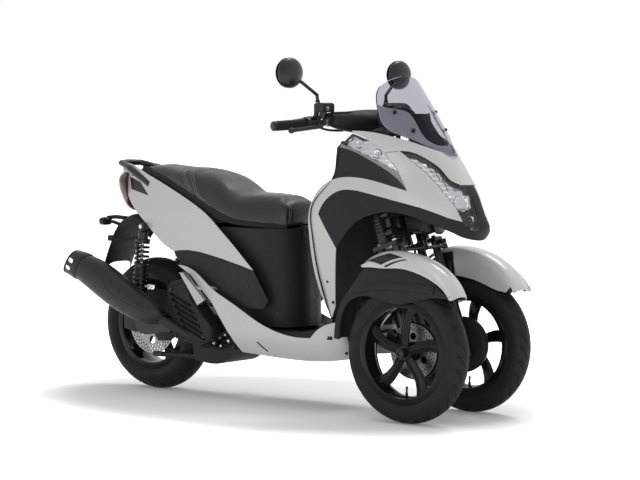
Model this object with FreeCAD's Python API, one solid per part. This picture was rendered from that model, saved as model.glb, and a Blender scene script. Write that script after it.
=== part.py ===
import FreeCAD, Part
import math
import os

# Reverse trike: a scooter that leans, with two steered wheels in front and one driven wheel behind.
# Millimetres. +X is forward, +Y is to the rider's left, +Z is up.
# The origin is on the floor, midway along the length and on the centre plane.

V = FreeCAD.Vector

# Driving sizes of the whole machine
WHEELBASE = 1350.0
FRONT_TRACK = 385.0
TAIL_OVERHANG = 300.0

# Wheels
FRONT_TYRE_R = 250.0
FRONT_TYRE_W = 90.0
FRONT_RIM_R = 184.0
REAR_TYRE_R = 258.0
REAR_TYRE_W = 130.0
REAR_RIM_R = 178.0
SPOKES = 5
SPOKE_NEAR = 26.0
SPOKE_FAR = 44.0
SPOKE_T = 16.0
SPOKE_SWEEP = -9.0
FRONT_HUB = 30.0
REAR_HUB = 40.0
AXLE_R = 8.0
RUNNING_GAP = 0.05
FRONT_DISC_R = 98.0
REAR_DISC_R = 117.0
DISC_T = 4.0
DISC_GAP = 6.0

# Steering
CASTER = 20.0
TRAIL = 68.0
KING_Y = 118.0
LEG_R = 20.0
SLIDER_R = 15.0
STEM_R = 14.0
KING_POST_R = 24.0
HEAD_PIPE_R = 30.0
HEAD_STEM_R = 15.0
TIE_ARM = 82.0
TIE_ROD_R = 7.0

# Handlebar
BAR_HALF = 375.0
BAR_R = 11.0
GRIP_R = 17.0
GRIP_LENGTH = 125.0
MIRROR_Y = 325.0
MIRROR_Z = 1223.0

# Bodywork
WALL = 3.0
SCREEN_T = 3.0
FLOOR_Z = 282.0
FLOOR_HALF = 185.0
SEAT_GAP = 6.0
SEAT_RIM = 655.0
HINGE_X = 752.0
HINGE_Z = 657.0
HINGE_R = 8.0
HINGE_PIN_R = 4.0
HINGE_HALF = 26.0
PIPE_R = 14.0

# Centre stand, measured from the rear axle
STAND_X = 262.0
STAND_Z = 152.0
STAND_PIVOT_R = 11.0

# Places that follow from the driving sizes
OVERALL_LENGTH = TAIL_OVERHANG + WHEELBASE + FRONT_TYRE_R
REAR_X = TAIL_OVERHANG - OVERALL_LENGTH / 2.0
FRONT_X = REAR_X + WHEELBASE
REAR_AXLE_Z = REAR_TYRE_R
FRONT_AXLE_Z = FRONT_TYRE_R
WHEEL_Y = FRONT_TRACK / 2.0
LEAN = math.radians(CASTER)
UP_AXIS = V(-math.sin(LEAN), 0, math.cos(LEAN))
FORE_AXIS = V(math.cos(LEAN), 0, math.sin(LEAN))


# Shape helpers

def back(x, y, z):
    """A point measured forward of the rear axle."""
    return V(REAR_X + x, y, z)


def fore(x, y, z):
    """A point measured forward of the front axle."""
    return V(FRONT_X + x, y, z)


def steer(s, f=0.0, y=0.0):
    """A point at s up the steering axis from the floor, f in front of it and y to its left."""
    return V(FRONT_X + TRAIL, y, 0) + UP_AXIS * s + FORE_AXIS * f


def mirrored(shape):
    return shape.mirror(V(0, 0, 0), V(0, 1, 0))


def both(shape):
    return Part.makeCompound([shape, mirrored(shape)])


def join(*shapes):
    solid = shapes[0].multiFuse(list(shapes[1:])) if len(shapes) > 1 else shapes[0]
    return solid.removeSplitter()


def largest(shape):
    return max(shape.Solids, key=lambda solid: solid.Volume)


def rod(a, b, radius):
    return Part.makeCylinder(radius, (b - a).Length, a, b - a)


def bent_rod(points, radius):
    """Straight rods from point to point, rounded where they meet."""
    rods = [rod(a, b, radius) for a, b in zip(points, points[1:])]
    knees = [Part.makeSphere(radius, p) for p in points[1:-1]]
    return join(*(rods + knees))


def block(x0, x1, y0, y1, z0, z1):
    return Part.makeBox(x1 - x0, y1 - y0, z1 - z0, V(x0, y0, z0))


def edge_runs(runs, place):
    """Edges through runs of flat points: a run of two is straight, a longer one is a smooth curve."""
    edges = []
    for run in runs:
        points = [place(*p) for p in run]
        if len(points) == 2:
            edges.append(Part.LineSegment(points[0], points[1]).toShape())
        else:
            curve = Part.BSplineCurve()
            curve.interpolate(points)
            edges.append(curve.toShape())
    return Part.Wire(edges)


def closed_runs(*runs):
    """Joins the end of the last run to the start of the first, where they differ."""
    runs = [list(run) for run in runs]
    linked = []
    for run, following in zip(runs, runs[1:] + runs[:1]):
        linked.append(run)
        if run[-1] != following[0]:
            linked.append([run[-1], following[0]])
    return linked


def side_prism(runs, y0, y1, origin_x=0.0):
    """An outline drawn in side view as (x, z), stretched from y0 to y1."""
    wire = edge_runs(closed_runs(*runs), lambda x, z: V(origin_x + x, y0, z))
    return Part.Face(wire).extrude(V(0, y1 - y0, 0))


def front_prism(runs, x0, x1):
    """An outline drawn in front view as (y, z), stretched from x0 to x1."""
    wire = edge_runs(closed_runs(*runs), lambda y, z: V(x0, y, z))
    return Part.Face(wire).extrude(V(x1 - x0, 0, 0))


def spacing(lines):
    """Shared parameters for several lines of points, from their mean distances."""
    steps = [0.0]
    for j in range(1, len(lines[0])):
        mean = sum((line[j] - line[j - 1]).Length for line in lines) / len(lines)
        steps.append(steps[-1] + mean)
    return [step / steps[-1] for step in steps]


def curve_through(points, parameters):
    curve = Part.BSplineCurve()
    curve.interpolate(Points=points, Parameters=parameters)
    return curve


def spline_face(rows):
    """A smooth face through a grid of points."""
    across = spacing(rows)
    along = spacing(list(zip(*rows)))
    lines = [curve_through(row, across) for row in rows]
    columns = [curve_through(list(poles), along) for poles in zip(*[line.getPoles() for line in lines])]
    grid = [list(poles) for poles in zip(*[column.getPoles() for column in columns])]
    surface = Part.BSplineSurface()
    surface.buildFromPolesMultsKnots(grid, columns[0].getMultiplicities(), lines[0].getMultiplicities(),
                                     columns[0].getKnots(), lines[0].getKnots(), False, False,
                                     columns[0].Degree, lines[0].Degree)
    return surface.toShape()


def moved_inward(rows, distance, core):
    """The same grid of points, each moved by a distance along its normal, towards the core."""
    moved = []
    for i, row in enumerate(rows):
        above = rows[min(i + 1, len(rows) - 1)]
        below = rows[max(i - 1, 0)]
        line = []
        for j, point in enumerate(row):
            along = row[min(j + 1, len(row) - 1)] - row[max(j - 1, 0)]
            normal = along.cross(above[j] - below[j])
            normal.normalize()
            if normal.dot(core - point) < 0:
                normal = normal * -1
            line.append(point + normal * distance)
        moved.append(line)
    return moved


def skin(rows, thickness, core):
    """A closed wall: its outer face runs through the rows of points, its inner face lies towards the core."""
    outer = spline_face(rows)
    inner = spline_face(moved_inward(rows, thickness, core))
    rims = [Part.makeRuledSurface(a, b) for a, b in zip(outer.Edges, inner.Edges)]
    shell = Part.makeShell([outer, inner] + rims)
    shell.sewShape()
    solid = Part.makeSolid(shell)
    if solid.Volume < 0:
        solid.reverse()
    return solid


def loft(sections):
    """A solid through closed smooth sections, each a list of points."""
    wires = []
    for points in sections:
        curve = Part.BSplineCurve()
        curve.interpolate(points, PeriodicFlag=True)
        wires.append(Part.Wire([curve.toShape()]))
    return Part.makeLoft(wires, True)


def turned(profile, centre):
    """A solid of revolution about the axle through centre: its profile is a list of (radius, offset) runs."""
    wire = edge_runs(closed_runs(*profile), lambda r, w: V(centre.x, centre.y + w, centre.z + r))
    return Part.Face(wire).revolve(centre, V(0, 1, 0), 360)


def round_bar(centre, radius, y0, y1):
    return Part.makeCylinder(radius, y1 - y0, V(centre.x, centre.y + y0, centre.z), V(0, 1, 0))


# Wheels

def tyre(centre, radius, width, rim_radius):
    half = width / 2.0
    bead_r = rim_radius - 4.0
    bead = half * 0.78
    shoulder_r = radius - width * 0.2
    shoulder = half * 0.86
    wall_r = (bead_r + shoulder_r) / 2.0
    return turned([
        [(bead_r, -bead), (wall_r, -half), (shoulder_r, -shoulder)],
        [(shoulder_r, -shoulder), (radius, 0.0), (shoulder_r, shoulder)],
        [(shoulder_r, shoulder), (wall_r, half), (bead_r, bead)],
    ], centre)


def spoke(centre, angle, hub_r, barrel_r, face, side):
    """One broad blade, narrow at the hub and wide at the barrel, swept a little as it goes out."""
    near = math.radians(angle)
    far = math.radians(angle + SPOKE_SWEEP)
    corners = []
    for a, r, h in ((near, hub_r, SPOKE_NEAR / 2.0), (far, barrel_r, SPOKE_FAR / 2.0),
                    (far, barrel_r, -SPOKE_FAR / 2.0), (near, hub_r, -SPOKE_NEAR / 2.0)):
        corners.append((r * math.cos(a) - h * math.sin(a), r * math.sin(a) + h * math.cos(a)))
    y0 = centre.y + side * face - SPOKE_T / 2.0
    blade = side_prism([[p, q] for p, q in zip(corners, corners[1:] + corners[:1])], y0, y0 + SPOKE_T, centre.x)
    blade.translate(V(0, 0, centre.z))
    return blade


def rim(centre, rim_radius, tyre_width, side, hub_half, bore):
    """Cast wheel. side is +1 where the outer face looks to +Y."""
    half = tyre_width / 2.0 * 0.78
    bead_r = rim_radius - 4.0
    well_r = rim_radius - 20.0
    barrel_r = well_r - 5.0
    barrel = turned([
        [(barrel_r, -half - 3.0), (rim_radius, -half - 3.0)],
        [(rim_radius, -half - 3.0), (rim_radius, -half)],
        [(rim_radius, -half), (bead_r, -half)],
        [(bead_r, -half), (bead_r, half)],
        [(bead_r, half), (rim_radius, half)],
        [(rim_radius, half), (rim_radius, half + 3.0)],
        [(rim_radius, half + 3.0), (barrel_r, half + 3.0)],
        [(barrel_r, half + 3.0), (barrel_r, -half - 3.0)],
    ], centre)
    hub = round_bar(centre, 34.0, -hub_half, hub_half)
    arms = []
    for number in range(SPOKES):
        angle = 90.0 + number * 360.0 / SPOKES
        arms.append(spoke(centre, angle, 24.0, barrel_r + 3.0, 8.0, side))
    wheel = join(barrel, hub, *arms)
    return wheel.cut(round_bar(centre, bore, -hub_half - 1.0, hub_half + 1.0))


def disc(centre, radius, y0, hole):
    plate = round_bar(centre, radius, y0, y0 + DISC_T)
    windows = []
    for number in range(6):
        angle = math.radians(30.0 + 60.0 * number)
        place = centre + V(math.cos(angle), 0, math.sin(angle)) * (radius * 0.55)
        windows.append(round_bar(place, radius * 0.13, y0 - 1.0, y0 + DISC_T + 1.0))
    return plate.cut(Part.makeCompound(windows)).cut(round_bar(centre, hole, y0 - 1.0, y0 + DISC_T + 1.0))



def front_wheel(side):
    centre = V(FRONT_X, side * WHEEL_Y, FRONT_AXLE_Z)
    inner = -side * FRONT_HUB
    y0 = inner if side < 0 else inner - DISC_T
    return {
        "rim": rim(centre, FRONT_RIM_R, FRONT_TYRE_W, side, FRONT_HUB, AXLE_R + RUNNING_GAP),
        "tyre": tyre(centre, FRONT_TYRE_R, FRONT_TYRE_W, FRONT_RIM_R),
        "disc": disc(centre, FRONT_DISC_R, y0, AXLE_R + 4.0),
    }


def rear_wheel():
    centre = V(REAR_X, 0, REAR_AXLE_Z)
    return {
        "rim": rim(centre, REAR_RIM_R, REAR_TYRE_W, -1, REAR_HUB, AXLE_R + RUNNING_GAP),
        "tyre": tyre(centre, REAR_TYRE_R, REAR_TYRE_W, REAR_RIM_R),
        "disc": disc(centre, REAR_DISC_R, -REAR_HUB - DISC_T, AXLE_R + 4.0),
    }


# Front suspension and steering

AXLE_UP = TRAIL * math.sin(LEAN) + FRONT_AXLE_Z * math.cos(LEAN)
AXLE_FORE = FRONT_AXLE_Z * math.sin(LEAN) - TRAIL * math.cos(LEAN)
LEG_FORES = (-22.0, 46.0)
LEG_BOTTOM = AXLE_UP - 50.0
LEG_TOP = AXLE_UP + 172.0
BRACKET_BOTTOM = 640.0
BRACKET_TOP = 655.0
POST_BOTTOM = 661.0
POST_TOP = 785.0
STEM_TOP = 800.0
LOWER_ARM = 690.0
UPPER_ARM = 757.0


def fork(side):
    """Left or right fork: two legs in line, a casting with the axle, a caliper and the top bracket."""
    y = side * KING_Y
    parts = []
    for f in LEG_FORES:
        parts.append(rod(steer(LEG_BOTTOM, f, y), steer(LEG_TOP, f, y), LEG_R))
        parts.append(rod(steer(LEG_TOP, f, y), steer(BRACKET_TOP, f, y), SLIDER_R))
    mid = (LEG_FORES[0] + LEG_FORES[1]) / 2.0
    axle = V(FRONT_X, 0, FRONT_AXLE_Z)
    inner_face = WHEEL_Y - FRONT_HUB - DISC_T
    boss_end = inner_face - DISC_GAP
    parts.append(rod(axle + V(0, y, 0), axle + V(0, side * boss_end, 0), 20.0))
    parts.append(rod(axle + V(0, side * (KING_Y - 16.0), 0), axle + V(0, side * (WHEEL_Y + FRONT_HUB + 2.0), 0), AXLE_R))
    parts.append(rod(axle + V(0, side * (WHEEL_Y + FRONT_HUB + 1.0), 0),
                     axle + V(0, side * (WHEEL_Y + FRONT_HUB + 13.0), 0), 15.0))
    web = Part.makeBox(68.0 + 2 * LEG_R - 12.0, 26.0, 90.0)
    web.translate(V(-(68.0 + 2 * LEG_R - 12.0) / 2.0, -13.0, -45.0))
    web.rotate(V(0, 0, 0), V(0, 1, 0), -CASTER)
    web.translate(steer(AXLE_UP, mid, y))
    parts.append(web)
    bracket = Part.makeBox(68.0 + 2 * LEG_R, 2 * LEG_R + 4.0, BRACKET_TOP - BRACKET_BOTTOM)
    bracket.translate(V(LEG_FORES[0] - LEG_R, -LEG_R - 2.0, 0))
    bracket.rotate(V(0, 0, 0), V(0, 1, 0), -CASTER)
    bracket.translate(steer(BRACKET_BOTTOM, 0, y))
    parts.append(bracket)
    parts.append(rod(steer(BRACKET_BOTTOM, 0, y), steer(STEM_TOP, 0, y), STEM_R))
    parts.append(rod(steer(POST_TOP + 6.0, 0, y), steer(STEM_TOP + 6.0, 0, y), STEM_R + 8.0))
    for f, x, z in ((LEG_FORES[1], -62.0, 548.0), (LEG_FORES[0], -186.0, 480.0)):
        parts.append(rod(steer(LEG_TOP - 14.0, f, y), fore(x, side * (WHEEL_Y - FRONT_TYRE_W / 2.0 - 1.0), z), 7.0))
    parts.append(bent_rod([steer(BRACKET_BOTTOM + 7.0, LEG_FORES[1], y), steer(BRACKET_BOTTOM - 12.0, TIE_ARM - 4.0, y)], 9.0))
    parts.append(rod(steer(BRACKET_BOTTOM - 17.0, TIE_ARM, y), steer(BRACKET_BOTTOM - 1.0, TIE_ARM, y), 11.0))
    body = join(*parts)
    return body


def caliper(centre, radius, disc_low, disc_high, angle):
    """Two jaws over a disc's edge, joined outside it. Angles are in the wheel's plane."""
    gap = 5.0
    jaw = 11.0
    low = disc_low - gap
    high = disc_high + gap
    shape = Part.makeBox(62.0, high - low + 2 * jaw, 40.0)
    shape.translate(V(-31.0, low - jaw, radius - 24.0))
    slot = Part.makeBox(80.0, high - low, 24.0 + 5.0)
    slot.translate(V(-40.0, low, radius - 24.0))
    shape = shape.cut(slot)
    shape.rotate(V(0, 0, 0), V(0, 1, 0), 90.0 - angle)
    shape.translate(V(centre.x, 0, centre.z))
    return shape


def front_caliper(side):
    centre = V(FRONT_X, 0, FRONT_AXLE_Z)
    inner = WHEEL_Y - FRONT_HUB - DISC_T
    shape = caliper(centre, FRONT_DISC_R, inner, inner + DISC_T, 158.0)
    link = rod(steer(AXLE_UP + 70.0, LEG_FORES[0] - 4.0, KING_Y), centre + V(-88.0, inner - 10.0, 42.0), 9.0)
    shape = join(shape, link)
    return shape if side > 0 else mirrored(shape)


def lean_linkage():
    """Two cross arms on the head pipe's front, with a king post at each end."""
    parts = []
    for s in (LOWER_ARM, UPPER_ARM):
        beam = Part.makeBox(16.0, 2 * KING_Y, 26.0)
        beam.translate(V(0, -KING_Y, -13.0))
        beam.rotate(V(0, 0, 0), V(0, 1, 0), -CASTER)
        beam.translate(steer(s, HEAD_PIPE_R + 4.0, 0))
        parts.append(beam)
        for y in (-KING_Y, 0.0, KING_Y):
            parts.append(rod(steer(s, HEAD_PIPE_R + 2.0, y), steer(s, HEAD_PIPE_R + 26.0, y), 18.0))
        for y in (-KING_Y, KING_Y):
            parts.append(rod(steer(s, 0.0, y), steer(s, HEAD_PIPE_R + 8.0, y), 13.0))
        parts.append(rod(steer(s, HEAD_PIPE_R - 1.0, 0), steer(s, HEAD_PIPE_R + 8.0, 0), 13.0))
    for y in (-KING_Y, KING_Y):
        parts.append(rod(steer(POST_BOTTOM, 0, y), steer(POST_TOP, 0, y), KING_POST_R))
    shape = join(*parts)
    bores = [rod(steer(POST_BOTTOM - 5.0, 0, y), steer(POST_TOP + 5.0, 0, y), STEM_R + RUNNING_GAP)
             for y in (-KING_Y, KING_Y)]
    return shape.cut(Part.makeCompound(bores)).cut(rod(steer(HEAD_BOTTOM, 0), steer(HEAD_TOP, 0), HEAD_PIPE_R))


HEAD_BOTTOM = 640.0
HEAD_TOP = 860.0


def tie_rod():
    """The bar between the steering arms, with an eye at the middle and at each end."""
    s = BRACKET_BOTTOM - 20.0
    bar = rod(steer(s - 8.0, TIE_ARM, -KING_Y), steer(s - 8.0, TIE_ARM, KING_Y), TIE_ROD_R)
    eyes = [rod(steer(s - 16.0, TIE_ARM, y), steer(s, TIE_ARM, y), 11.0) for y in (-KING_Y, 0.0, KING_Y)]
    return join(bar, *eyes)


# Handlebar

BAR_X = -310.0
BAR_Z = 1052.0


def handlebar():
    """Steering stem with its arm, and the bent bar."""
    stem = rod(steer(HEAD_BOTTOM - 14.0), steer(1105.0), HEAD_STEM_R)
    arm = bent_rod([steer(HEAD_BOTTOM - 9.0), steer(HEAD_BOTTOM - 9.0, TIE_ARM)], 8.0)
    eye = rod(steer(HEAD_BOTTOM - 18.0, TIE_ARM), steer(HEAD_BOTTOM, TIE_ARM), 11.0)
    top = steer(1105.0)
    parts = [stem, arm, eye]
    for side in (-1, 1):
        points = [top, fore(BAR_X - 15.0, side * 90.0, BAR_Z + 2.0), fore(BAR_X - 60.0, side * 190.0, BAR_Z + 12.0),
                  fore(BAR_X - 100.0, side * 225.0, BAR_Z + 6.0), fore(-456.0, side * (BAR_HALF - 5.0), 1036.0)]
        parts.append(bent_rod(points, BAR_R))
    return join(*parts)


def grips():
    parts = []
    for side in (-1, 1):
        inner = fore(-418.0, side * (BAR_HALF - GRIP_LENGTH), 1043.0)
        outer = fore(-458.0, side * BAR_HALF, 1035.0)
        parts.append(rod(inner, outer, GRIP_R))
    return Part.makeCompound(parts)


def controls():
    """Switch boxes, brake reservoirs and levers, one set for each hand."""
    parts = []
    for side in (-1, 1):
        box = rod(fore(-400.0, side * 205.0, 1050.0), fore(-416.0, side * 247.0, 1046.0), 22.0)
        tank = block(FRONT_X - 384.0, FRONT_X - 342.0, -32.0, 32.0, 1084.0, 1114.0)
        tank.translate(V(0, side * 204.0, 0))
        neck = rod(fore(-378.0, side * 200.0, 1050.0), fore(-366.0, side * 204.0, 1090.0), 13.0)
        foot = rod(fore(-398.0, side * 214.0, 1056.0), fore(-392.0, side * 202.0, 1104.0), 9.0)
        lever = bent_rod([fore(-372.0, side * 205.0, 1046.0), fore(-340.0, side * 250.0, 1034.0),
                          fore(-392.0, side * 350.0, 1020.0)], 7.0)
        bridge = rod(fore(-404.0, side * 205.0, 1050.0), fore(-360.0, side * 205.0, 1048.0), 12.0)
        parts.append(join(box, tank, neck, foot, lever, bridge))
    return Part.makeCompound(parts)


def mirrors():
    parts = []
    for side in (-1, 1):
        base = fore(-392.0, side * 202.0, 1098.0)
        knee = fore(-395.0, side * 205.0, 1146.0)
        head = fore(-420.0, side * MIRROR_Y, MIRROR_Z)
        stalk = bent_rod([base, knee, head], 6.0)
        shell = Part.makeSphere(1.0, V(0, 0, 0))
        scale = FreeCAD.Matrix()
        scale.scale(V(22.0, 66.0, 54.0))
        shell = shell.transformGeometry(scale)
        shell.translate(head)
        parts.append(join(stalk, shell))
    return Part.makeCompound(parts)


def handlebar_cover():
    """Two-part cover over the bar's middle."""
    sections = []
    for y, half, low, high, x in ((-180.0, 20.0, 1034.0, 1078.0, -352.0), (-110.0, 44.0, 1014.0, 1088.0, -325.0),
                                  (0.0, 56.0, 1006.0, 1094.0, -305.0), (110.0, 44.0, 1014.0, 1088.0, -325.0),
                                  (180.0, 20.0, 1034.0, 1078.0, -352.0)):
        mid = (low + high) / 2.0
        rise = (high - low) / 2.0
        ring = []
        for number in range(12):
            angle = math.radians(30.0 * number)
            ring.append(fore(x + half * math.cos(angle), y, mid + rise * math.sin(angle)))
        sections.append(ring)
    return loft(sections)


# Frame

def frame():
    """Head pipe, down tube, side rails, seat rails, cross tubes and stays."""
    head = rod(steer(HEAD_BOTTOM), steer(HEAD_TOP), HEAD_PIPE_R)
    parts = [head]
    parts.append(bent_rod([steer(700.0, -10.0), fore(-345.0, 0, 330.0), fore(-400.0, 0, 250.0)], 22.0))
    for side in (-1, 1):
        parts.append(bent_rod([fore(-395.0, 0, 258.0), fore(-430.0, side * 80.0, 245.0), back(600.0, side * 95.0, 245.0),
                               back(470.0, side * 105.0, 330.0), back(330.0, side * 98.0, 585.0),
                               back(60.0, side * 82.0, 690.0), back(-60.0, side * 46.0, 745.0)], PIPE_R))
        parts.append(rod(back(-58.0, side * 46.0, 742.0), back(-60.0, side * 46.0, 676.0), 8.0))
        parts.append(bent_rod([back(42.0, side * 82.0, 695.0), back(26.0, side * 90.0, 636.0), back(26.0, side * 130.0, 634.0)],
                              9.0))
    parts.append(rod(steer(HEAD_TOP - 16.0, HEAD_PIPE_R - 6.0), fore(-186.0, 0, 1008.0), 9.0))
    parts.append(block(REAR_X + 546.0, REAR_X + 574.0, 84.0, 104.0, 186.0, 250.0))
    parts.append(rod(back(560.0, 92.0, 200.0), back(560.0, 154.0, 200.0), 5.0))
    for place in (back(600.0, 0, 245.0), back(400.0, 0, 462.0), back(60.0, 0, 690.0)):
        parts.append(rod(place + V(0, -98.0, 0), place + V(0, 98.0, 0), PIPE_R - 2.0))
    shape = join(*parts)
    return shape.cut(rod(steer(HEAD_BOTTOM - 5.0), steer(HEAD_TOP + 5.0), HEAD_STEM_R + RUNNING_GAP))


# Drive

def engine():
    """One block for the crankcase and cylinder, hung under the frame."""
    case = side_prism([[(280.0, 140.0), (340.0, 132.0), (420.0, 138.0), (480.0, 190.0)],
                       [(480.0, 190.0), (455.0, 300.0)], [(455.0, 300.0), (300.0, 340.0)],
                       [(300.0, 340.0), (280.0, 300.0), (280.0, 140.0)]], -105.0, 78.0, REAR_X)
    barrel = rod(back(400.0, -20.0, 250.0), back(560.0, -20.0, 292.0), 58.0)
    hanger = rod(back(462.0, -106.0, 345.0), back(462.0, 106.0, 345.0), 12.0)
    mast = rod(back(430.0, 0, 280.0), back(462.0, 0, 345.0), 22.0)
    lugs = [block(REAR_X + STAND_X - 16.0, REAR_X + STAND_X + 30.0, y - 6.0, y + 6.0, STAND_Z - 16.0, STAND_Z + 16.0)
            for y in (-64.0, 64.0)]
    pivot = rod(back(STAND_X, -100.0, STAND_Z), back(STAND_X, 100.0, STAND_Z), STAND_PIVOT_R + RUNNING_GAP)
    return join(case, barrel, hanger, mast, *lugs).cut(pivot)


def drive_case():
    """Belt and gear case along the left side, which carries the axle's left end."""
    return side_prism([[(-60.0, 262.0), (-36.0, 218.0), (30.0, 202.0)], [(30.0, 202.0), (420.0, 182.0)],
                       [(420.0, 182.0), (470.0, 224.0)],
                       [(470.0, 224.0), (440.0, 290.0), (300.0, 330.0), (0.0, 330.0), (-60.0, 262.0)]],
                      78.0, 138.0, REAR_X)


def swing_arm():
    """Right arm, rear axle and rear caliper."""
    axle = V(REAR_X, 0, REAR_AXLE_Z)
    shaft = rod(axle + V(0, -REAR_HUB - 60.0, 0), axle + V(0, 78.0, 0), AXLE_R)
    arm = side_prism([[(-35.0, 262.0), (-20.0, 232.0), (40.0, 222.0), (150.0, 235.0)],
                      [(150.0, 235.0), (150.0, 290.0)],
                      [(150.0, 290.0), (60.0, 312.0), (22.0, 345.0)], [(22.0, 345.0), (-20.0, 345.0)],
                      [(-20.0, 345.0), (-30.0, 300.0), (-35.0, 262.0)]], -104.0, -84.0, REAR_X)
    stud = rod(back(0, -100.0, 330.0), back(0, -132.0, 330.0), 8.0)
    link = rod(back(140.0, -94.0, 262.0), back(285.0, -94.0, 250.0), 16.0)
    spacer_right = rod(axle + V(0, -84.0, 0), axle + V(0, -REAR_HUB - DISC_T - 1.0, 0), 13.0)
    spacer_left = rod(axle + V(0, REAR_HUB + 1.0, 0), axle + V(0, 78.0, 0), 15.0)
    return join(shaft, arm, stud, link, spacer_right, spacer_left)


def radiator_guard():
    """Slatted cover of the radiator on the right of the engine."""
    outline = [[(196.0, 422.0), (211.0, 434.0), (283.0, 449.0)], [(283.0, 449.0), (323.0, 375.0)],
               [(323.0, 375.0), (423.0, 275.0)], [(423.0, 275.0), (418.0, 230.0)], [(418.0, 230.0), (358.0, 203.0)],
               [(358.0, 203.0), (236.0, 225.0)], [(236.0, 225.0), (195.0, 368.0)], [(195.0, 368.0), (196.0, 422.0)]]
    body = side_prism(outline, -168.0, -105.0, REAR_X)
    slots = []
    for number in range(6):
        slot = block(-62.0, 62.0, -180.0, -158.0, -7.0, 7.0)
        slot.rotate(V(0, 0, 0), V(0, 1, 0), 22.0)
        slot.translate(V(REAR_X + 262.0 + 14.0 * number, 0, 376.0 - 25.0 * number))
        slots.append(slot)
    return body.cut(Part.makeCompound(slots))


MUFFLER_Y = -208.0
MUFFLER_RISE = math.radians(31.0)


def muffler_ring(x, z, tall, wide, y=MUFFLER_Y):
    """A rounded-off box section, square to the muffler's rising axis."""
    ring = []
    for number in range(16):
        angle = math.radians(22.5 * number)
        u = math.copysign(abs(math.cos(angle)) ** 0.8, math.cos(angle)) * wide
        w = math.copysign(abs(math.sin(angle)) ** 0.8, math.sin(angle)) * tall
        ring.append(back(x + w * math.sin(MUFFLER_RISE), y + u, z + w * math.cos(MUFFLER_RISE)))
    return ring


def muffler():
    """Silencer on the right, rising to the rear, with its guard plate and slotted end sleeve."""
    body = loft([muffler_ring(*place) for place in (
        (196.0, 294.0, 14.0, 14.0, -194.0), (172.0, 306.0, 36.0, 30.0, -202.0), (110.0, 330.0, 52.0, 42.0, -206.0),
        (30.0, 365.0, 60.0, 47.0), (-60.0, 410.0, 63.0, 50.0), (-150.0, 456.0, 60.0, 48.0), (-216.0, 482.0, 52.0, 42.0))])
    guard = loft([muffler_ring(*place) for place in (
        (166.0, 309.0, 36.0, 32.0, -205.0), (110.0, 331.0, 54.0, 45.0, -209.0), (30.0, 366.0, 62.0, 51.0, -210.0),
        (-60.0, 411.0, 65.0, 54.0, -210.0))])
    guard = guard.common(block(REAR_X - 62.0, REAR_X + 170.0, -280.0, MUFFLER_Y - 8.0, 250.0, 500.0))
    sleeve = loft([muffler_ring(*place) for place in (
        (-206.0, 478.0, 57.0, 45.0), (-240.0, 490.0, 56.0, 44.0), (-272.0, 498.0, 50.0, 40.0))])
    hollow = loft([muffler_ring(*place) for place in (
        (-216.0, 481.0, 52.0, 40.0), (-240.0, 490.0, 51.0, 39.0), (-282.0, 500.0, 45.0, 35.0))])
    slots = []
    for rise in (-17.0, 17.0):
        centre = V(REAR_X - 252.0 + rise * math.sin(MUFFLER_RISE), 0, 493.0 + rise * math.cos(MUFFLER_RISE))
        slots.append(rod(V(centre.x - 4.0, -280.0, centre.z), V(centre.x - 4.0, MUFFLER_Y, centre.z), 9.0))
        slots.append(rod(V(centre.x + 6.0, -280.0, centre.z - 4.0), V(centre.x + 6.0, MUFFLER_Y, centre.z - 4.0), 9.0))
    sleeve = sleeve.cut(hollow).cut(join(*slots))
    pipe = bent_rod([back(190.0, -196.0, 296.0), back(250.0, -176.0, 262.0), back(330.0, -140.0, 214.0), back(372.0, -60.0, 196.0)],
                    17.0)
    lug = rod(back(20.0, -190.0, 345.0), back(20.0, -104.0, 282.0), 10.0)
    return join(body, guard, sleeve, pipe, lug)


def rear_shocks():
    parts = []
    for side in (-1, 1):
        y = side * 118.0
        low = back(0.0, y, 330.0)
        high = back(26.0, y, 642.0)
        along = (high - low)
        spring = rod(low + along * 0.2, low + along * 0.85, 30.0)
        shape = join(rod(low, high, 11.0), spring)
        parts.append(shape)
    return Part.makeCompound(parts)


PLATE_Z = 587.0
PLATE_SPACING = 140.0
PLATE_HOLE_R = 3.25


def rear_mudguard():
    """Tail of the mudguard with the blank plate bracket."""
    rows = []
    for x, z, half in ((60.0, 640.0, 86.0), (-40.0, 684.0, 86.0), (-118.0, 674.0, 84.0), (-152.0, 622.0, 82.0),
                       (-182.0, 560.0, 80.0), (-208.0, 492.0, 76.0)):
        rows.append([back(x - 30.0, -half, z - 45.0), back(x - 6.0, -half * 0.7, z - 6.0), back(x, 0, z),
                     back(x - 6.0, half * 0.7, z - 6.0), back(x - 30.0, half, z - 45.0)])
    flap = skin(rows, WALL, back(0, 0, 262.0))
    bar = block(REAR_X - 206.0, REAR_X - 166.0, -78.0, 78.0, PLATE_Z - 11.0, PLATE_Z + 11.0)
    holes = [rod(back(-260.0, y, PLATE_Z), back(-100.0, y, PLATE_Z), PLATE_HOLE_R)
             for y in (-PLATE_SPACING / 2.0, PLATE_SPACING / 2.0)]
    return join(flap, bar).cut(Part.makeCompound(holes))


# Bodywork

BODY_CORE = fore(-260.0, 0, 700.0)


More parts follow.
